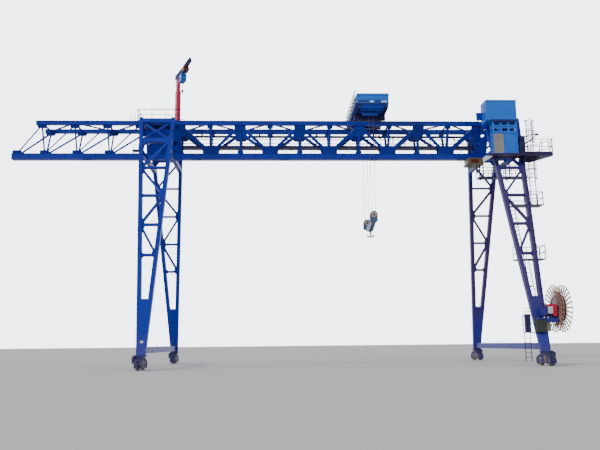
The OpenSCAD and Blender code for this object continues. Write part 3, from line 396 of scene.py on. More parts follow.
class Shape:
    """One piece: many plain solids gathered into one mesh, all measured from its origin."""

    def __init__(self, origin=(0, 0, 0)):
        self.origin = Vector(origin)
        self.verts = []
        self.faces = []

    def add(self, points, faces):
        base = len(self.verts)
        self.verts += [self.origin + point for point in points]
        self.faces += [tuple(base + i for i in face) for face in faces]

    def box(self, low, high, at=HERE):
        """A box between two opposite corners, in the space of a matrix."""
        xs, ys, zs = [sorted(pair) for pair in zip(low, high)]
        self.add([at @ Vector((x, y, z)) for x in xs for y in ys for z in zs], BOX_FACES)

    def prism(self, points):
        """A solid between two outlines: the first half of the points and the second."""
        n = len(points) // 2
        faces = [tuple(range(n)), tuple(range(2 * n - 1, n - 1, -1))]
        self.add(points, faces + [(i, n + i, n + (i + 1) % n, (i + 1) % n) for i in range(n)])

    def rod(self, a, b, r, sides=10, r_end=None):
        """A round bar from a to b; r_end makes it taper."""
        a, b = Vector(a), Vector(b)
        turn = (b - a).to_track_quat("Z", "Y").to_matrix()
        ends = ((a, r), (b, r if r_end is None else r_end))
        angles = [2 * pi * i / sides for i in range(sides)]
        points = [c + turn @ Vector((cos(q) * k, sin(q) * k, 0)) for c, k in ends for q in angles]
        faces = [(i, (i + 1) % sides, sides + (i + 1) % sides, sides + i) for i in range(sides)]
        self.add(points, faces + [tuple(range(sides))[::-1], tuple(range(sides, 2 * sides))])

    def bar(self, start, axis, length, r, sides=10):
        """A round bar from a point along axis X, Y or Z, backwards if its length is negative."""
        end = list(start)
        end[axis] += length
        self.rod(start, end, r, sides)

    def tube(self, path, r, sides=8, closed=False):
        """A round bar along a path of points."""
        path = [Vector(p) for p in path]
        n = len(path)
        points = []
        side = None
        for i, p in enumerate(path):
            after = path[(i + 1) % n] if closed or i < n - 1 else p
            before = path[i - 1] if closed or i > 0 else p
            along = (after - before).normalized()
            if side is None:
                side = along.orthogonal().normalized()
            side = (side - along * side.dot(along)).normalized()
            over = along.cross(side)
            for k in range(sides):
                q = 2 * pi * k / sides
                points.append(p + (side * cos(q) + over * sin(q)) * r)
        faces = []
        for i in range(n if closed else n - 1):
            a, b = i * sides, (i + 1) % n * sides
            faces += [(a + k, a + (k + 1) % sides, b + (k + 1) % sides, b + k) for k in range(sides)]
        if not closed:
            faces += [tuple(range(sides))[::-1], tuple(range((n - 1) * sides, n * sides))]
        self.add(points, faces)

    def bolt(self, at, x, y, r=0.017, tall=0.016):
        """A hexagon head standing on the XY plane of a matrix."""
        angles = [pi * i / 3 for i in range(6)]
        ring = [(x + r * cos(q), y + r * sin(q)) for q in angles]
        points = [at @ Vector((a, b, z)) for z in (-0.004, tall) for a, b in ring]
        faces = [(i, (i + 1) % 6, 6 + (i + 1) % 6, 6 + i) for i in range(6)]
        self.add(points, faces + [tuple(range(6, 12))])

    def bolts(self, at, columns, rows, **size):
        for x in columns:
            for y in rows:
                self.bolt(at, x, y, **size)

    def bolt_ring(self, at, ring_r, n, first=0.0, r=0.014, tall=0.014):
        """n bolts in a circle on the XY plane of a matrix."""
        for i in range(n):
            q = 2 * pi * i / n + first
            self.bolt(at, ring_r * cos(q), ring_r * sin(q), r, tall)

    def mesh(self, name):
        """The gathered solids as one mesh, with every face looking outward."""
        mesh = bpy.data.meshes.new(name)
        mesh.from_pydata([tuple(v) for v in self.verts], [], self.faces)
        work = bmesh.new()
        work.from_mesh(mesh)
        bmesh.ops.recalc_face_normals(work, faces=work.faces)
        work.to_mesh(mesh)
        work.free()
        return mesh

    def done(self, name, finish, body="frame", slot=None, bevel=0.0, smooth=False):
        """Makes the piece, and hangs it on its body if it has one. Its slot argument is not used."""
        mesh = self.mesh(name)
        if smooth:
            mesh.shade_smooth()
        obj = dressed(name, mesh, finish)
        if bevel:
            edge = obj.modifiers.new("edge", "BEVEL")
            edge.width = bevel
            edge.segments = 1
            edge.limit_method = "ANGLE"
        if body:
            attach(obj, body)
        return obj


def boxes(name, finish, *pairs, origin=(0, 0, 0), **more):
    """A piece of boxes alone, each given by two opposite corners."""
    shape = Shape(origin)
    for low, high in pairs:
        shape.box(low, high)
    return shape.done(name, finish, **more)


def steps(low, high, n):
    """n numbers from low to high."""
    return [low + (high - low) * i / (n - 1) for i in range(n)]


def both_ways(near, far, n):
    """n numbers on each side of zero, between near and far."""
    return steps(-far, -near, n) + steps(near, far, n)


def plane(origin, up, normal):
    """Matrix at a point, with Y along up and Z along normal."""
    return Matrix.Translation(origin) @ Matrix((up.cross(normal), up, normal)).transposed().to_4x4()


def face_plane(s, x, v, out):
    """Matrix on the lattice face s (-1 front, 1 rear): X along the bridge, Y up the slope, Z outward."""
    up = Vector((0, s * sin(FACE_TILT), cos(FACE_TILT)))
    normal = Vector((0, s * cos(FACE_TILT), -sin(FACE_TILT)))
    return plane(Vector((x, s * FACE_FOOT, CHORD_TOP)) + up * v + normal * out, up, normal)


def leg_spot(side, s, x, z, out):
    """A point on a leg: x from its middle, at a height, out from its centre plane."""
    normal = Vector((0, s * cos(LEG_TILT), sin(LEG_TILT)))
    return Vector((leg_mid(side, z) + x, s * leg_y(z), z)) + normal * out


def leg_plane(side, s, x, z, out):
    """Matrix on a leg's outer (out > 0) or inner face: X along the bridge, Y up the slope, Z off the leg."""
    up = Vector((0, -s * sin(LEG_TILT), cos(LEG_TILT)))
    normal = Vector((0, s * cos(LEG_TILT), sin(LEG_TILT))) * (-1 if out < 0 else 1)
    return plane(leg_spot(side, s, x, z, out), up, normal)


def girder_bolts():
    """Bolt groups where the bars meet the gussets, on both lattice faces."""
    shape = Shape()
    slope = atan2(FACE_V, PANEL)
    for s in SIDES:
        for i in range(SPAN_N + 1):
            x = SPAN_X + i * PANEL
            low = i % 2 == 1
            v = 0.0 if low else FACE_V
            up = 1 if low else -1
            for turn in SIDES:
                if (i == 0 and turn < 0) or (i == SPAN_N and turn > 0):
                    continue
                for d in (0.42, 0.52, 0.62):
                    for w in (-0.06, 0.06):
                        dx = turn * (d * cos(slope) - w * sin(slope))
                        dv = up * (d * sin(slope) + w * cos(slope))
                        shape.bolt(face_plane(s, x + dx, v + dv, BAR_OUT), 0, 0)
            shape.bolts(face_plane(s, x, v + up * 0.3, BAR_OUT), (-0.045, 0.045), (-0.08, 0, 0.08))
            shape.bolts(face_plane(s, x, FACE_V - v + up * 0.12, BAR_OUT), (-0.045, 0.045), (-0.04, 0.04))
            edge, near, far, n = (0.06, 0.2, 0.55, 5) if low else (FACE_V - 0.06, 0.15, 0.38, 4)
            shape.bolts(face_plane(s, x, edge, GUSSET_OUT), both_ways(near, far, n), (0,))
        for v, places in ((FACE_V - 0.07, CANT_XS[:4]), (0.07, CANT_XS[1:])):
            for x in places:
                shape.bolts(face_plane(s, x, v, GUSSET_OUT), steps(-0.3, 0.3, 7), (0,))
    shape.done("girder_bolts", "blue_paint")


def chord_splices():
    """Bolted splice plates and welded stiffeners on the chords."""
    plates = Shape()
    bolts = Shape()
    ribs = Shape()

    def splice(x, y, s, low, high, half, thick, rows):
        """A bolted plate on a chord's upright side at y, which looks towards s."""
        plates.box((x - half, y, low), (x + half, y + s * thick, high))
        at = placed((x, y + s * thick, (low + high) / 2), radians(90), "X")
        if s > 0:
            at = at @ Matrix.Rotation(pi, 4, "Y")
        bolts.bolts(at, both_ways(0.06, half - 0.05, 3), rows)

    def rib(x, y, s, low, high):
        ribs.box((x - 0.006, y, low + 0.04), (x + 0.006, y + s * RIB_OUT, high - 0.04))

    for x in SPLICE_XS:
        for s in SIDES:
            splice(x, s * CHORD_HALF, s, CHORD_LOW + 0.06, CHORD_TOP - 0.06, 0.3, 0.014, (-0.11, 0, 0.11))
        plates.box((x - 0.3, -0.24, CHORD_LOW - 0.014), (x + 0.3, 0.24, CHORD_LOW))
        under = placed((x, 0, CHORD_LOW - 0.014), pi, "X")
        bolts.bolts(under, both_ways(0.06, 0.25, 3), (-0.19, -0.09, 0.09, 0.19))
        for c, s in PAIRS:
            y = c * CHORD_Y + s * UPPER_HALF
            splice(x, y, s, UPPER_LOW + 0.05, TOP_Z - 0.05, 0.26, 0.012, (-0.06, 0.06))
    for x in steps(SPAN_X, SPAN_END, 2 * SPAN_N + 1):
        for s in SIDES:
            rib(x, s * CHORD_HALF, s, CHORD_LOW, CHORD_TOP)
            for c in SIDES:
                rib(x, c * CHORD_Y + s * UPPER_HALF, s, UPPER_LOW, TOP_Z)
    rib_places = (-19.494, -18.194, -15.594, -13.394, -11.194)
    for x in rib_places:
        for s in SIDES:
            rib(x, s * CHORD_HALF, s, CHORD_LOW, CHORD_TOP)
    plates.done("chord_splice_plates", "blue_paint", bevel=0.003)
    bolts.done("chord_splice_bolts", "blue_paint")
    ribs.done("chord_stiffeners", "blue_paint")


def leg_details():
    """Splices, edge seams, end plates and bolts on the four legs."""
    plates = Shape()
    bolts = Shape()
    seams = Shape()
    lean = atan((LEG_TOP_W - LEG_FOOT_W) / 2 / LEG_RISE)
    splice_rows = (-0.22, -0.13, -0.05, 0.05, 0.13, 0.22)
    for side, s in PAIRS:
        for face in SIDES:
            out = face * LEG_D / 2
            for z in (9.4, 14.0):
                for col in SIDES:
                    at = leg_plane(side, s, col * (leg_half(z) - COLUMN_W / 2), z, out)
                    at = at @ Matrix.Rotation(-col * lean * (1 if at.col[0].x > 0 else -1), 4, "Z")
                    plates.box((-COLUMN_W / 2 + 0.02, -0.28, 0), (COLUMN_W / 2 - 0.02, 0.28, 0.014), at)
                    bolts.bolts(at @ Matrix.Translation((0, 0, 0.014)), (-0.08, 0, 0.08), splice_rows)
            bolts.bolts(leg_plane(side, s, 0, 1.25, out), steps(-0.22, 0.22, 5), (-0.12, 0.12))
            for z in (1.9, 3.0, TRUNK_TOP - 0.12):
                w = leg_half(z) - 0.004
                seams.box((-w, -0.008, 0), (w, 0.008, 0.006), leg_plane(side, s, 0, z, out))
            # The boxes on the right front foot leave no room for this plate
            if (side, s, face) != (1, -1, 1):
                at = leg_plane(side, s, 0, 2.45, out)
                plates.box((-0.16, -0.22, 0), (0.16, 0.22, 0.012), at)
                at = at @ Matrix.Translation((0, 0, 0.012))
                bolts.bolts(at, (-0.13, 0.13), steps(-0.18, 0.18, 4), r=0.011, tall=0.01)
        x = leg_mid(side, FOOT_Z)
        y = s * FOOT_Y
        plates.box((x - 0.36, y - 0.3, FOOT_Z - 0.03), (x + 0.36, y + 0.3, FOOT_Z))
        foot = placed((x, y, FOOT_Z - 0.03), pi, "X")
        bolts.bolts(foot, (-0.31, 0.31), steps(-0.24, 0.24, 4), r=0.02, tall=0.03)
    plates.done("leg_splice_plates", "blue_paint", bevel=0.003)
    bolts.done("leg_bolts", "blue_paint")
    seams.done("leg_weld_seams", "blue_paint")


def welded_copy(node):
    """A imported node's mesh at its place, with double points joined."""
    work = bmesh.new()
    work.from_mesh(frame["nodes"][node].data)
    work.transform(frame["nodes"][node].matrix_world)
    bmesh.ops.remove_doubles(work, verts=work.verts, dist=0.0005)
    return work


def unpacked(work, name):
    """The mesh of a working copy, which is freed."""
    mesh = bpy.data.meshes.new(name)
    work.to_mesh(mesh)
    work.free()
    return mesh


def stand_in(name, mesh, node):
    """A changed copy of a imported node's mesh, shown in the node's place."""
    obj = dressed(name, mesh, "blue_paint")
    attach(obj, "frame")
    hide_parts(node)


def open_bay(side, s, node):
    """A leg whose lowest bay has no diagonal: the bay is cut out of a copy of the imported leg."""
    cutter = Shape()
    ends = (TRUNK_TOP + 0.005, FIRST_CROSS - CROSS_HALF - 0.0016)
    corners = [(e * (leg_half(z) - COLUMN_W), z) for z in ends for e in SIDES]
    cutter.add([leg_spot(side, s, x, z, out) for out in (-0.3, 0.3) for x, z in corners], BOX_FACES)
    tool = linked("bay", cutter.mesh("bay"))
    leg = linked("leg", unpacked(welded_copy(node), "leg"))
    cut = leg.modifiers.new("cut", "BOOLEAN")
    cut.object = tool
    cut.operation = "DIFFERENCE"
    cut.solver = "EXACT"
    bpy.context.view_layer.update()
    mesh = bpy.data.meshes.new_from_object(leg.evaluated_get(bpy.context.evaluated_depsgraph_get()))
    bpy.data.objects.remove(tool)
    bpy.data.objects.remove(leg)
    stand_in(node + "_open_bay", mesh, node)


def bay_corners():
    """Rounded corner plates where the legs' lowest cross members and trunks meet the columns."""
    shape = Shape()
    for side, s in PAIRS:
        for z, up, r in ((FIRST_CROSS - CROSS_HALF, -1, 0.2), (FIRST_CROSS + CROSS_HALF, 1, 0.2),
                         (TRUNK_TOP, 1, 0.09)):
            for e in SIDES:
                x = e * (leg_half(z) - COLUMN_W + 0.01)
                ring = [(x, z)]
                for q in steps(0, pi / 2, 7):
                    ring.append((x - e * r * (1 - sin(q)), z + up * r * (1 - cos(q))))
                shape.prism([leg_spot(side, s, a, b, out) for out in (-0.099, 0.099) for a, b in ring])
    shape.done("bay_corner_plates", "blue_paint")


def walkway_details():
    """Stanchions and kick boards of the walkway inside the girder."""
    posts = Shape()
    deck_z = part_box("walkway_deck")[1].z
    low = (deck_z - 0.1 - CHORD_TOP) / cos(FACE_TILT)
    high = (deck_z + 0.78 - CHORD_TOP) / cos(FACE_TILT)
    for s in SIDES:
        for i in range(2 * SPAN_N + 1):
            x = max(SPAN_X + 0.12, min(SPAN_X + i * PANEL / 2 + 0.14, SPAN_END - 0.12))
            posts.box((-0.015, low, -0.012), (0.015, high, 0.012), face_plane(s, x, 0, -BAR_OUT - 0.06))
        y = s * 0.285
        posts.box((SPAN_X + 0.1, y - 0.004, deck_z - 0.08), (SPAN_END - 0.1, y + 0.004, deck_z + 0.03))
    posts.done("walkway_stanchions", "navy_paint")


def platform_details():
    """Front ribs, deck, toe boards, side cabinet, lamp arm and wedge of the service platform."""
    (x0, y0, _), (x1, y1, _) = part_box("service_platform")
    deck = DECK_Z
    ribs = Shape()
    for x in steps(x0 + 0.06, x1 - 0.06, 46):
        ribs.box((x - 0.015, y0 - 0.018, deck - 0.06), (x + 0.015, y0, deck - 0.005))
    for y in steps(y0 + 0.35, y0 + 1.7, 5):
        ribs.box((17.75 if y > -3.4 else x0 + 0.1, y - 0.02, deck - 0.2), (18.7, y + 0.02, deck - 0.16))
    ribs.done("platform_ribs", "maroon_paint", slot="navy_paint")
    boxes("platform_grating", "deck_grating",
          ((17.95, y0 + 0.03, deck), (18.95, y0 + 0.14, deck + 0.006)),
          ((18.62, y0 + 0.14, deck), (18.95, y1 - 0.25, deck + 0.006)),
          ((17.62, y0 + 0.14, deck), (17.88, y1 - 0.06, deck + 0.006)),
          slot="navy_paint")
    boxes("platform_toe_boards", "navy_paint",
          ((17.2, y0, deck), (x1, y0 + 0.006, deck + 0.12)),
          ((x1 - 0.006, y0, deck), (x1, y0 + 0.34, deck + 0.12)))
    boxes("side_cabinet", "navy_paint",
          ((-0.18, -0.18, 0), (0.18, 0.18, 0.12)),
          ((-0.2, -0.2, 0.12), (0.2, 0.2, 1.32)),
          ((-0.15, -0.215, 0.2), (0.15, -0.2, 1.24)),
          origin=(17.42, -3.74, deck), bevel=0.006)
    arm = Shape((17.6, -3.8, deck))
    arm.tube([(0, 0, 1.22), (0.3, -0.06, 1.37), (0.9, -0.1, 1.48)], 0.04)
    arm.tube([(0, 0, 0.72), (0.34, -0.06, 0.95), (0.88, -0.1, 1.44)], 0.035)
    arm.box((0.82, -0.18, 1.36), (0.98, -0.02, 1.5))
    arm.done("lamp_arm", "navy_paint")
    wedge = Shape()
    outline = ((14.7, 14.06), (15.28, 14.388), (14.7, 14.388))
    wedge.prism([Vector((x, y, z)) for y in (-3.98, -3.38) for x, z in outline])
    wedge.done("platform_wedge", "pale_paint", slot="blue_paint")


def corner(node):
    """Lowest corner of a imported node's box, and its three lengths."""
    low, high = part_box(node)
    return low, high - low


def door(shape, x0, x1, z0, z1):
    """A door leaf with its frame and hinges, standing proud of the front wall."""
    shape.box((x0 - 0.05, -0.02, z0), (x0, 0, z1 + 0.05))
    shape.box((x1, -0.02, z0), (x1 + 0.05, 0, z1 + 0.05))
    shape.box((x0, -0.02, z1), (x1, 0, z1 + 0.05))
    shape.box((x0 + 0.01, -0.012, z0 + 0.02), (x1 - 0.01, 0, z1 - 0.01))
    for z in (z0 + 0.22, (z0 + z1) / 2, z1 - 0.22):
        shape.bar((x0 + 0.012, -0.03, z - 0.05), Z, 0.1, 0.014, 8)


def house_details():
    """Door, handle, louvres and ribs of the electrical house, from its lowest corner."""
    low, (w, d, h) = corner("electrical_house")
    leaf = Shape(low)
    door(leaf, 0.82, w - 0.12, 0.08, h - 0.12)
    for z0, z1 in ((0.16, 0.62), (0.72, h - 0.2)):
        leaf.box((0.9, -0.02, z0), (w - 0.2, -0.012, z1))
    for x in (0, w - 0.06):
        leaf.box((x, -0.01, 0), (x + 0.06, 0, h))
    leaf.box((-0.03, -0.04, h - 0.05), (w + 0.03, 0, h))
    leaf.done("house_door", "azure_paint", bevel=0.004)
    boxes("house_handle", "rail_steel", ((w - 0.2, -0.05, 0.72), (w - 0.17, -0.02, 0.9)), origin=low)
    panel = Shape(low)
    panel.box((0.07, -0.012, 0.05), (0.74, 0, h - 0.08))
    for i in range(14):
        at = placed((0, -0.01, 0.14 + i * 0.09), radians(25), "X")
        panel.box((0.11, -0.02, 0), (0.7, 0, 0.05), at)
    panel.done("house_louvres", "louvre_paint", slot="azure_paint")
    side = Shape(low)
    for z in steps(0.2, h - 0.2, 8):
        for x, out in ((0, -0.02), (w, 0.02)):
            side.box((x, 0.1, z), (x + out, d - 0.1, z + 0.03))
    side.done("house_side_ribs", "navy_paint")


def cabinet_details():
    """Trim, louvres and the dark bar of the upper cabinet, from its lowest corner."""
    low, (w, d, h) = corner("upper_cabinet")
    trim = Shape(low)
    trim.box((-0.03, -0.04, h - 0.05), (w + 0.04, d + 0.03, h + 0.005))
    for x in (0, w - 0.05):
        trim.box((x, -0.012, 0), (x + 0.05, 0, h - 0.05))
    trim.box((0, -0.012, 0), (w, 0, 0.05))
    for x in steps(0.36, w - 0.36, 5):
        trim.box((x - 0.012, -0.008, 0.05), (x + 0.012, 0, h - 0.05))
    for z in steps(0.3, h - 0.3, 4):
        for x, out in ((0, -0.008), (w, 0.008)):
            trim.box((x, 0.05, z), (x + out, d - 0.05, z + 0.02))
    trim.bar((w - 0.02, -0.02, h), Z, 0.1, 0.012, 8)
    trim.done("cabinet_trim", "azure_paint", bevel=0.004)
    louvre = Shape(low)
    for i in range(11):
        z = 0.18 + i * 0.1
        louvre.box((-0.025, 0.12, z), (0, 0.62, z + 0.045))
    louvre.done("cabinet_louvres", "azure_paint")
    boxes("cabinet_slot", "navy_paint", ((0.3, -0.03, -0.12), (w - 0.1, 0, 0.04)), origin=low)


def head_boxes():
    """The small box at the right head, and the brown box and the lamp under the girder."""
    boxes("side_box", "blue_paint",
          ((14.5, -3.15, 17.28), (14.9, -2.95, 17.78)),
          ((14.46, -3.18, 17.78), (14.9, -2.92, 17.82)),
          slot="azure_paint", bevel=0.005)
    under = (15, 0, CHORD_LOW)
    tray = Shape(under)
    tray.box((-0.6, -0.75, -0.4), (0.5, 0.3, -0.02))
    tray.box((-0.67, -0.8, -0.52), (0.57, 0.35, -0.4))
    for x in (-0.4, 0.3):
        tray.box((x - 0.03, -0.2, -0.02), (x + 0.03, 0.2, 0))
    tray.done("under_tray", "olive_paint", slot="block_paint", bevel=0.008)
    boxes("tray_front", "maroon_paint", ((-0.36, -0.765, -0.38), (0.18, -0.75, -0.12)),
          origin=under, slot="block_paint")
    lamp = Shape((15.06, -0.7, CHORD_LOW - 0.85))
    lamp.tube([(-0.01, 0, 0.51), (0.02, -0.02, 0.25), (0, 0, 0)], 0.03)
    lamp.bar((0, 0, 0), Z, -0.3, 0.07, 12)
    lamp.done("hanging_lamp", "navy_paint")


def conduits():
    """Cables and conduits down the front right leg and along the platform's rack."""
    pipes = Shape()
    edge = 0.07
    for k, dx in enumerate((-0.045, 0.0, 0.045)):
        path = []
        for z in steps(2.4, 14.0, 24):
            path.append((leg_mid(1, z) + leg_half(z) - edge + dx, -leg_y(z) - 0.208, z))
        pipes.tube(path, 0.016 + 0.003 * k, 6)
    pipes.done("leg_conduits", "blue_paint")
    clips = Shape()
    for z in steps(2.8, 13.8, 12):
        clips.box((-0.1, -0.02, 0), (0.1, 0.02, 0.05), leg_plane(1, -1, leg_half(z) - edge, z, LEG_D / 2))
    clips.done("conduit_clips", "navy_paint")
    low, (w, d, h) = corner("cabinet_rack")
    rack = Shape(low)
    for i, x in enumerate(steps(0.35, w - 0.3, 5)):
        rack.tube([(x, 0.22, 0), (x + 0.02 * i, 0.22, 0.4), (x, 0.24, h)], 0.02, 6)
    rack.done("rack_cables", "cable_rubber")
    # Painted shade: a dark navy sheet behind the rack's openings, so they look dark inside and no sky shows
    # through.
    boxes("rack_shade_sheet", "navy_paint", ((0.03, d - 0.03, 0.02), (w - 0.03, d - 0.02, h - 0.02)), origin=low)


def catenary(x0, x1, y, z, drop, n=14):
    """Points of a hanging loop between two clamps at height z."""
    points = []
    for i in range(n + 1):
        t = 2 * i / n - 1
        x = x0 + (x1 - x0) * (t + 1) / 2 + 0.11 * sin(pi * t) * (x1 - x0)
        points.append((x, y, z - drop * (1 - abs(t) ** 2.6)))
    return points


def festoon():
    """The trolley's supply cables in loops, and the rollers at their clamps."""
    low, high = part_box("festoon_cables")
    n = 7
    pitch = (high.x - low.x + 0.006) / n
    start = low.x - 0.003
    clamp_z = high.z
    y = FESTOON_Y
    cables = Shape()
    for i in range(n):
        a, b = start + i * pitch + 0.02, start + (i + 1) * pitch - 0.02
        for k in range(3):
            drop = (clamp_z - low.z - 0.03) * (0.97 - 0.03 * k - 0.02 * (i % 2))
            cables.tube(catenary(a, b, y + 0.028 * (k - 1), clamp_z, drop), 0.012, 6)
    lead = ((0, 0, 0), (-0.03, 0.04, 0.05), (-0.08, 0.13, 0.12))
    cables.tube([(start + a, y + b, clamp_z + c) for a, b, c in lead], 0.02, 8)
    obj = cables.done("festoon_loops", "cable_rubber", body=None, smooth=True)
    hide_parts("festoon_cables")
    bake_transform(obj)
    wheels = Shape()
    z = 17.31
    for i in range(n + 1):
        x = start + i * pitch
        for s in SIDES:
            wheels.bar((x, y + s * 0.05, z), Y, s * 0.012, 0.035, 12)
    wheels.done("festoon_rollers", "rail_steel")


def bogie_details():
    """Axle caps, rail sweeps, bolts, buffers and marks on the bogies."""
    caps = Shape()
    marks = Shape()
    pale = Shape()
    plates = Shape()
    skin = 0.004
    for side, s in PAIRS:
        x = LEFT if side < 0 else RIGHT
        mid = s * FOOT_Y
        for e in SIDES:
            y = mid + e * AXLE_Y
            for f in SIDES:
                face = x + f * BOGIE_HALF
                plates.bar((face, y, AXLE_Z), X, f * 0.018, 0.15, 20)
                caps.bolt_ring(placed((face + f * 0.018, y, AXLE_Z), f * pi / 2, "Y"), 0.115, 6)
            sweep = mid + e * 1.09
            plates.box((x - 0.1, sweep, 0.05), (x + 0.1, sweep + e * 0.02, 0.24))
            for f in SIDES:
                face = x + f * BOGIE_HALF
                for strip in (y - 0.31, y + 0.31):
                    marks.box((face, strip - 0.02, 0.2), (face + f * skin, strip + 0.02, 0.5))
            tip = mid + e * 1.44
            plates.bar((x, tip - e * 0.03, 0.33), Y, e * 0.03, 0.1, 20)
        for f in SIDES:
            face = x + f * BOGIE_HALF
            marks.box((face, mid - 0.42, 0.5), (face + f * skin, mid - 0.3, 0.6))
            pale.box((face, mid + 0.28, 0.44), (face + f * skin, mid + 0.46, 0.5))
            at = placed((face, mid, 0.6), f * pi / 2, "Y")
            caps.bolts(at, (-0.05, 0.03), steps(-0.5, 0.5, 7))
    pale.box((-0.09, -0.07, 0), (0.09, 0.07, 0.01), leg_plane(-1, -1, 0.02, 1.65, LEG_D / 2))
    plates.done("bogie_plates", "bogie_paint")
    caps.done("bogie_bolts", "bogie_paint")
    marks.done("bogie_marks", "yellow_paint", slot="bogie_paint")
    pale.done("foot_reflectors", "pale_paint", slot="bogie_paint")


def drive_details():
    """Cooling fins and end caps of the travel motors."""
    fins = Shape()
    for side, s in PAIRS:
        x = (LEFT if side < 0 else RIGHT) + side * (BOGIE_HALF + 0.142)
        mid = s * (FOOT_Y + 0.2)
        for i in range(12):
            y = mid - 0.22 + i * 0.035
            fins.bar((x, y, MOTOR_Z), Y, 0.012, 0.125, 20)
        for e in SIDES:
            fins.bar((x, mid + e * 0.26, MOTOR_Z), Y, e * 0.015, 0.085, 16)
        fins.box((x - 0.05, mid - 0.08, MOTOR_Z + 0.1), (x + 0.05, mid + 0.08, MOTOR_Z + 0.18))
    fins.done("drive_fins", "bogie_paint")


def wound_cable():
    """The cable's turns on the reel: whole outer layers, and only the end columns of the inner ones."""
    low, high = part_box("reel_cable")
    mid = (low + high) / 2
    step = 2 * CABLE_R
    turns = Shape()
    layers = int(((high.z - low.z) / 2 - HUB_R) / step)
    across = int((high.x - low.x) / step)
    for layer in range(layers):
        r = HUB_R + CABLE_R + layer * step
        sides = 24 + 2 * layer
        for k in (0, across - 1) if layer < layers - 2 else range(across):
            x = low.x + CABLE_R + k * (high.x - low.x - step) / (across - 1)
            ring = []
            for i in range(sides):
                q = 2 * pi * i / sides
                ring.append((x, mid.y + r * cos(q), mid.z + r * sin(q)))
            turns.tube(ring, CABLE_R * 0.98, 6, closed=True)
    obj = turns.done("cable_turns", "coil_rubber", body="reel", slot="cable_rubber", smooth=True)
    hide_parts("reel_cable")


def reel_details():
    """Hub plates, drive, boxes, beam, prongs, rays and cable lead, most of them measured from the hub."""
    low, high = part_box("reel_cable")
    hub = (low + high) / 2
    coil_r = (high.z - low.z) / 2
    plates = Shape(hub)
    for f in SIDES:
        plates.bar((f * 0.2, 0, 0), X, f * 0.015, 0.26, 28)
        plates.bolt_ring(placed((f * 0.215, 0, 0), f * pi / 2, "Y"), 0.21, 10)
    plates.bar((0.21, 0, 0), X, 0.06, 0.1, 20)
    plates.done("hub_plates", "reel_steel", body="reel")
    low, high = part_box("reel_drive")
    motor = Shape((low.x + 0.03, hub.y, hub.z + 0.06))
    for i in range(8):
        motor.bar((i * 0.025, 0, 0), X, 0.01, 0.135, 20)
    motor.done("reel_motor_fins", "red_paint")
    box = Shape(hub)
    box.box((-0.87, -0.62, -0.34), (-0.6, -0.24, 0.1))
    for i in range(5):
        z = -0.3 + i * 0.08
        box.box((-0.85, -0.635, z), (-0.62, -0.62, z + 0.045))
    box.done("slip_ring_box", "pale_paint", slot="reel_steel", bevel=0.006)
    gear = Shape(hub)
    gear.box((-0.57, -0.6, -0.5), (-0.32, -0.24, 0.22))
    gear.bar((-0.45, -0.6, -0.1), Y, -0.05, 0.1, 20)
    gear.done("reel_gear", "red_paint", bevel=0.01)
    boxes("reel_beam", "blue_paint",
          ((-1.65, -0.75, -0.86), (-0.37, -0.45, -0.61)),
          ((-1.65, -0.77, -0.88), (-0.36, -0.43, -0.86)),
          ((-1.6, -0.45, -0.84), (-1.05, -0.24, -0.63)),
          ((-0.7, -0.45, -0.6), (-0.38, 0.2, -0.58)),
          ((-0.7, -0.45, -0.61), (-0.64, -0.1, -0.36)),
          origin=hub, bevel=0.004)
    caps = Shape(hub)
    for x in (-1.22, -0.98):
        caps.bar((x, -0.7, -0.61), Z, 0.07, 0.045, 12)
    caps.done("reel_beam_caps", "pale_paint", slot="blue_paint")
    prongs = Shape(hub)
    rays = Shape(hub)
    for f in SIDES:
        for i in range(SPOKES):
            q = 2 * pi * (i + 0.5) / SPOKES
            ray = Vector((0, sin(q), -cos(q)))
            out = Vector((f, 0, 0))
            prongs.rod(ray * coil_r + out * 0.2, ray * REEL_RIM + out * 0.276, 0.05, 8, 0.042)
            rays.rod(ray * 0.27 + out * 0.205, ray * (coil_r + 0.02) + out * 0.205, 0.017, 6)
    prongs.done("reel_prongs", "prong_steel", body="reel", slot="reel_steel")
    rays.done("reel_rays", "spoke_steel", body="reel", slot="reel_steel")
    z = 2.7
    leg = Vector((leg_mid(1, z) + 0.3, -leg_y(z) - 0.21, z))
    x = high.x - 0.6 - hub.x
    lead = Shape(hub)
    lead.tube([(x, -0.4, -0.26), (x - 0.02, -0.42, -0.5), (x - 0.15, -0.3, -0.75), leg - hub], 0.018, 8)
    lead.done("reel_lead", "cable_rubber", smooth=True)


def inner_ladder():
    """Ladder inside the front right leg's lowest bay, up to the landing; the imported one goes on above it."""
    work = welded_copy("leg_ladders")
    bmesh.ops.bisect_plane(work, geom=work.verts[:] + work.edges[:] + work.faces[:],
                           plane_co=(0, 0, LANDING_Z), plane_no=(0, 0, 1), clear_inner=True)
    bmesh.ops.holes_fill(work, edges=[edge for edge in work.edges if edge.is_boundary])
    stand_in("upper_ladders", unpacked(work, "upper_ladders"), "leg_ladders")

    def inside(x, z, out=-0.32):
        return leg_spot(1, -1, x, z, out)

    climb = Shape()
    mid = 0.04
    for e in SIDES:
        x = e * 0.14 + mid
        climb.rod(inside(x, 2.3), inside(x, LANDING_Z - 0.08), 0.03, 8)
        for z in (3.0, 5.0, 6.6):
            climb.rod(inside(x, z), inside(e * (leg_half(z) - 0.1), z, -0.17), 0.018, 8)
    for z in steps(2.5, 6.7, 15):
        climb.rod(inside(mid - 0.14, z), inside(mid + 0.14, z), 0.016, 8)
    climb.done("leg_inner_ladder", "navy_paint", slot="blue_paint")


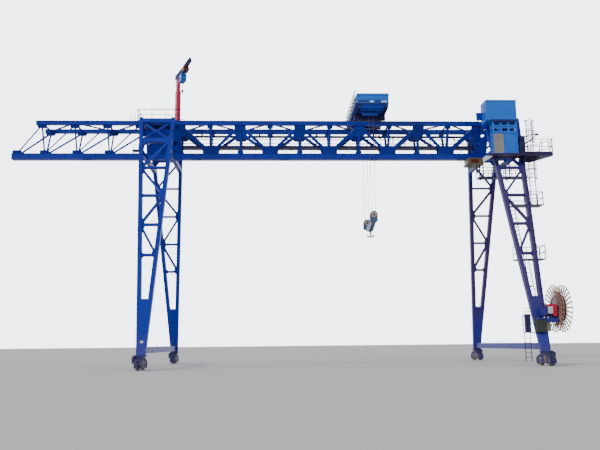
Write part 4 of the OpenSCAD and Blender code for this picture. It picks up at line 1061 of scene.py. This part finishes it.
def foot_boxes():
    """Boxes on the front right foot, the guard and cabinet of its landing, and a heater box."""
    def wall(z):
        """Place of the leg's front face along Y, at a height."""
        return -(leg_y(z) + LEG_D / 2 / cos(LEG_TILT))

    def foot_box(name, finish, x0, x1, z0, z1, deep):
        """A box with a door, a lid, a handle and two feet that reach the leg."""
        box = Shape()
        y = wall(z0) - deep
        box.box((x0, y, z0), (x1, wall(z0), z1))
        box.box((x0 + 0.03, y - 0.012, z0 + 0.03), (x1 - 0.03, y, z1 - 0.03))
        box.box((x0 - 0.01, y - 0.03, z1), (x1 + 0.01, y + 0.3, z1 + 0.012))
        mid = (z0 + z1) / 2
        box.box((x1 - 0.1, y - 0.03, mid - 0.05), (x1 - 0.08, y - 0.012, mid + 0.05))
        for z in (z0 + 0.1, z1 - 0.1):
            box.box((x0 + 0.1, wall(z0), z - 0.03), (x1 - 0.1, wall(z) + 0.01, z + 0.03))
        return box.done(name, finish, slot="azure_paint", bevel=0.004)

    upper = foot_box("foot_box_upper", "blue_paint", 16.67, 17.08, 3.1, 3.7, 0.32)
    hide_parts("foot_cabinets")
    foot_box("foot_box_lower", "moss_paint", 16.25, 16.86, 2.08, 2.84, 0.3)
    heater = Shape()
    y = wall(2.3) - 0.12
    heater.box((16.92, y, 2.1), (17.2, y + 0.24, 2.7))
    for i in range(7):
        z = 2.15 + i * 0.075
        heater.box((16.94, y - 0.012, z), (17.18, y, z + 0.03))
    heater.box((16.92, y + 0.1, 2.2), (16.98, wall(2.2) + 0.05, 2.3))
    heater.done("foot_heater_box", "louvre_paint", slot="azure_paint")
    cabinet = Shape()
    cabinet.box((15.63, -7.27, 2.09), (15.95, -6.97, 3.2))
    cabinet.box((15.66, -7.282, 2.15), (15.92, -7.27, 3.15))
    rail_y, rail_top = -7.3, 3.57
    for x in (15.64, 15.84, 16.08):
        cabinet.rod((x, rail_y, 3.1), (x, rail_y, rail_top), 0.018, 8)
    for z in (3.34, rail_top):
        cabinet.rod((15.63, rail_y, z), (16.1, rail_y, z), 0.018, 8)
    cabinet.done("landing_cabinet", "navy_paint", bevel=0.003)


def jib_details():
    """Stiffeners, bolts, hoist drum and hook of the jib crane."""
    low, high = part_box("jib_post")
    cx = (low.x + high.x) / 2
    foot = low.z + 0.03
    post = Shape()
    for z in (foot, low.z + 2.58):
        post.bolt_ring(placed((cx, 0, z)), 0.215, 8, r=0.016, tall=0.018)
    gusset = ((0.16, 0), (0.16, 0.28), (0.25, 0))
    for q in range(6):
        at = placed((cx, 0, foot), q * pi / 3 + 0.3)
        post.prism([at @ Vector((x, y, z)) for y in (-0.006, 0.006) for x, z in gusset])
    post.bar((cx, 0, low.z + 0.05), Z, 2.5, 0.212, 24)
    post.rod((cx, 0, low.z + 2.6), (cx, 0, high.z - 0.3), 0.155, 24)
    post.done("jib_post_ribs", "red_paint")
    turn = placed((cx, 0, high.z), radians(-68))

    def rod(shape, a, b, r, sides):
        """A round bar in the arm's own space, where X runs out along it."""
        shape.rod(turn @ Vector(a), turn @ Vector(b), r, sides)

    arm = Shape()
    for x in steps(-0.35, 3.3, 9):
        for s in SIDES:
            arm.box((x - 0.006, s * 0.012, 0.17), (x + 0.006, s * 0.085, 0.41), turn)
    arm.box((3.35, -0.09, 0.1), (3.37, 0.09, 0.44), turn)
    arm.box((-0.4, -0.16, 0.1), (-0.2, 0.16, 0.44), turn)
    rod(arm, (0, 0, 0.32), (0, 0, 0.47), 0.12, 20)
    arm.done("jib_arm_ribs", "navy_paint", body="jib")
    tie = Shape()
    for s in SIDES:
        rod(tie, (0.05, s * 0.05, 0.46), (3.2, s * 0.03, 0.46), 0.022, 8)
    tie.box((2.35, -0.1, 0.415), (3.34, 0.1, 0.43), turn)
    for s in SIDES:
        tie.box((2.5, s * 0.012, 0.165), (3.34, s * 0.088, 0.17), turn)
    tie.done("jib_tie_bars", "red_paint", body="jib")
    motor = Shape()
    motor.box((1.75, -0.2, -0.12), (2.35, 0.2, 0.16), turn)
    for x in (1.72, 2.32):
        motor.box((x, -0.14, 0.1), (x + 0.06, 0.14, 0.34), turn)
    rod(motor, (1.7, 0, -0.02), (2.5, 0, -0.02), 0.11, 16)
    motor.done("jib_hoist_motor", "maroon_paint", body="jib", slot="navy_paint", bevel=0.01)
    hoist = Shape()
    drum_z = -0.35
    rod(hoist, (0.82, 0, drum_z), (1.7, 0, drum_z), 0.2, 24)
    for i in range(9):
        x = 0.86 + i * 0.02
        rod(hoist, (x, 0, drum_z), (x + 0.008, 0, drum_z), 0.22, 24)
    for s in SIDES:
        for x in (1.16, 1.34):
            rod(hoist, (x, s * 0.05, 0.2), (x, s * 0.085, 0.2), 0.05, 16)
    hoist.done("jib_hoist_drum", "azure_paint", body="jib")
    hook = Shape()
    hook_x, hook_z, bend = 1.25, -1.53, 0.06
    points = []
    for i in range(15):
        a = radians(100 - 20 * i)
        points.append(turn @ Vector((hook_x + bend * cos(a), 0, hook_z + bend * sin(a))))
    hook.tube(points, 0.016, 8)
    rod(hook, (hook_x, 0, hook_z + 0.11), (hook_x, 0, hook_z + 0.06), 0.02, 8)
    hook.done("jib_hook", "hook_steel", body="jib", smooth=True)


def trolley_details():
    """House front with window band, bare sign field, roof rim, side rail, underframe and drives."""
    corner_point, (w, d, h) = corner("trolley_house")
    trim = Shape(corner_point)
    trim.box((-0.03, -0.05, h - 0.04), (w + 0.03, d + 0.05, h + 0.12))
    for y, out in ((0, -0.014), (d, 0.014)):
        trim.box((0, y, 0), (w, y + out, 0.045))
        trim.box((0, y, 0.2), (w, y + out, 0.24))
        for x in steps(0, w - 0.04, 8):
            trim.box((x, y, 0), (x + 0.04, y + out, 0.24))
    for x, out in ((0, -0.01), (w, 0.01)):
        for y in steps(0.05, d - 0.05, 13):
            trim.box((x, y - 0.015, 0), (x + out, y + 0.015, h - 0.04))
    trim.done("trolley_trim", "azure_paint", "trolley", bevel=0.003)
    boxes("bare_sign_field", "azure_paint", ((0.12, -0.022, 0.27), (w - 0.12, 0, h - 0.05)),
          origin=corner_point, body="trolley", bevel=0.004)
    panes = [((a, -0.006, 0.06), (b, 0, 0.19)) for a, b in ((0.92, 1.18), (1.78, 1.9), (1.98, 2.12))]
    boxes("trolley_windows", "pane", *panes, origin=corner_point, body="trolley", slot="azure_paint")
    shutters = [((a, -0.005, 0.06), (b, 0, 0.19)) for a, b in ((0.1, 0.84), (1.26, 1.7))]
    boxes("trolley_shutters", "navy_paint", *shutters, origin=corner_point, body="trolley")
    rail = Shape(corner_point)
    x = -0.16
    for y in steps(0.05, d - 0.05, 8):
        rail.bar((x, y, 0), Z, 0.98, 0.016, 8)
    for z in (0.33, 0.66, 0.98):
        rail.bar((x, 0.02, z), Y, d - 0.04, 0.014, 8)
    rail.box((x - 0.004, 0.02, 0), (x + 0.004, d - 0.02, 0.12))
    rail.done("trolley_side_rail", "pale_paint", "trolley", slot="navy_paint")
    (x0, y0, z0), (x1, y1, _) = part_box("trolley_house")
    under = Shape()
    z = z0 - 0.08
    mid = TROLLEY_X
    for y in steps(y0 + 0.3, y1 - 0.3, 9):
        if abs(abs(y) - FALL_Y) > 0.2:
            under.box((x0 - 0.1, y - 0.03, z - 0.14), (x1 - 0.1, y + 0.03, z))
    for x in (x0 - 0.12, x1 - 0.16):
        under.box((x, y0 + 0.05, z - 0.1), (x + 0.06, y1 - 0.05, z))
    for s in SIDES:
        y = s * 1.45
        under.bar((mid - 0.6, y, z - 0.22), X, 1.15, 0.13, 20)
        under.box((mid - 0.7, y - 0.17, z - 0.16), (mid - 0.6, y + 0.17, z))
        for e in SIDES:
            under.bar((mid + e * FALL_X, s * FALL_Y - 0.04, z - 0.01), Y, 0.08, 0.1, 20)
    under.box((x0 - 0.1, y0 + 0.05, z - 0.012), (x1 - 0.02, y1 - 0.05, z - 0.004))
    # The underframe takes the brighter blue of painted light, for its dim underside.
    under.done("trolley_underframe", "under_painted_light", "trolley", slot="blue_paint", bevel=0.003)
    drive = Shape((mid, 0, 18.05))
    for s in SIDES:
        drive.bar((0.8, s * CHORD_Y - 0.32, 0), Y, 0.19, 0.11, 20)
        for e in SIDES:
            drive.bar((e * 0.8, s * (CHORD_Y + 0.13), -0.03), Y, s * 0.025, 0.09, 20)
    drive.done("trolley_drives", "navy_paint", "trolley")


def ropes():
    """Stranded hoist ropes, as long as the imported ones."""
    low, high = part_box("hoist_ropes")
    shape = Shape()
    n = 60
    lay = 0.007
    for s, e in PAIRS:
        x, y = TROLLEY_X + e * FALL_X, s * FALL_Y
        for k in range(3):
            path = []
            for i in range(n + 1):
                a = i * 1.1 + k * 2 * pi / 3
                z = low.z + (high.z - low.z) * i / n
                path.append((x + lay * cos(a), y + lay * sin(a), z))
            shape.tube(path, 0.008, 5)
    obj = shape.done("rope_strands", "rope_steel", body=None, smooth=True)
    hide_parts("hoist_ropes")
    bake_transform(obj)


def block_details():
    """Bolts, axle caps, rope guards, collar and latches of the long hook block."""
    middle = (TROLLEY_X, 0, SHEAVE_Z)
    trim = Shape(middle)
    for s in SIDES:
        for f in SIDES:
            y = s * FALL_Y + f * 0.16
            trim.bar((0, y, 0), Y, f * 0.03, 0.09, 20)
            at = placed((0, y, 0), -f * pi / 2, "X")
            trim.bolt_ring(at, 0.225, 8, 0.2)
            trim.bolts(at, (-0.22, 0.22), (0.34, 0.46), r=0.014)
        y = s * FALL_Y - 0.13
        for e in SIDES:
            trim.box((e * 0.24 - 0.01, y, -0.1), (e * 0.24 + 0.01, y + 0.26, 0.05))
        trim.bar((0, y, 0.23), Y, 0.26, 0.018, 10)
    for e in SIDES:
        for y in steps(-1.5, 1.5, 7):
            trim.box((e * 0.15, y - 0.01, -0.5), (e * 0.162, y + 0.01, -0.4))
    trim.done("block_trim", "block_paint", "block")
    cheeks = Shape(middle)
    for s, f in PAIRS:
        cheeks.bar((0, s * FALL_Y + f * 0.163, 0), Y, f * 0.006, 0.2, 28)
    cheeks.done("sheave_covers", "sheave_paint", "block")
    collar = Shape(middle)
    collar.bar((0, 0, -0.93), Z, 0.03, 0.13, 24)
    collar.done("swivel_collar", "hook_steel", "block")
    latch = Shape(middle)
    for s in SIDES:
        at = placed((s * 0.12, 0, -1.13), s * 0.5, "Y")
        latch.box((-0.1, -0.012, -0.006), (0.085, 0.012, 0.006), at)
    latch.done("hook_latches", "hook_steel", "hook_swivel_body")


def left_head():
    """Small railing, drop platform and pipe on the left head."""
    shape = Shape((-10.5, 0, CHORD_TOP))
    left, right, y, z = -0.17, 0.16, -CHORD_Y, TOP_Z - CHORD_TOP
    for x in (left, right):
        shape.bar((x, y, z), Z, 0.5, 0.018, 8)
    for rise in (0.28, 0.5):
        shape.bar((left, y, z + rise), X, right - left, 0.015, 8)
    shape.box((-0.12, -0.62, 0.14), (0.42, -0.02, 0.2))
    shape.box((-0.1, -0.28, 0), (-0.05, -0.2, 0.14))
    shape.box((0.34, -0.28, 0), (0.4, -0.2, 0.14))
    for x in (0, 0.36):
        shape.bar((x, -0.6, 0.2), Z, 0.42, 0.018, 8)
    shape.bar((0, -0.6, 0.6), X, 0.36, 0.015, 8)
    shape.done("left_head_rails", "navy_paint")
    deck = Shape()
    low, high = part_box("top_platform_left")
    deck.box((low.x + 0.05, low.y + 0.06, TOP_Z + 0.05), (high.x - 0.05, high.y - 0.06, TOP_Z + 0.056))
    deck.done("left_head_grating", "deck_grating", slot="navy_paint")


def dress_frame():
    """Gives every CAD node the finish of its slot."""
    for part in frame["record"]["subparts"]:
        obj = frame["nodes"][part["node"]]
        obj.data.materials.clear()
        obj.data.materials.append(FINISHES[part["material_slot"]])


camera()
stage()
make_finishes()
dress_frame()
for leg, node in zip(PAIRS, ("leg_front_left", "leg_rear_left", "leg_front_right", "leg_rear_right")):
    open_bay(*leg, node)
for make in (girder_bolts, chord_splices, leg_details, bay_corners, walkway_details, platform_details,
             house_details, cabinet_details, head_boxes, conduits, festoon, bogie_details, drive_details,
             wound_cable, reel_details, foot_boxes, inner_ladder, jib_details, trolley_details, ropes,
             block_details, left_head):
    make()
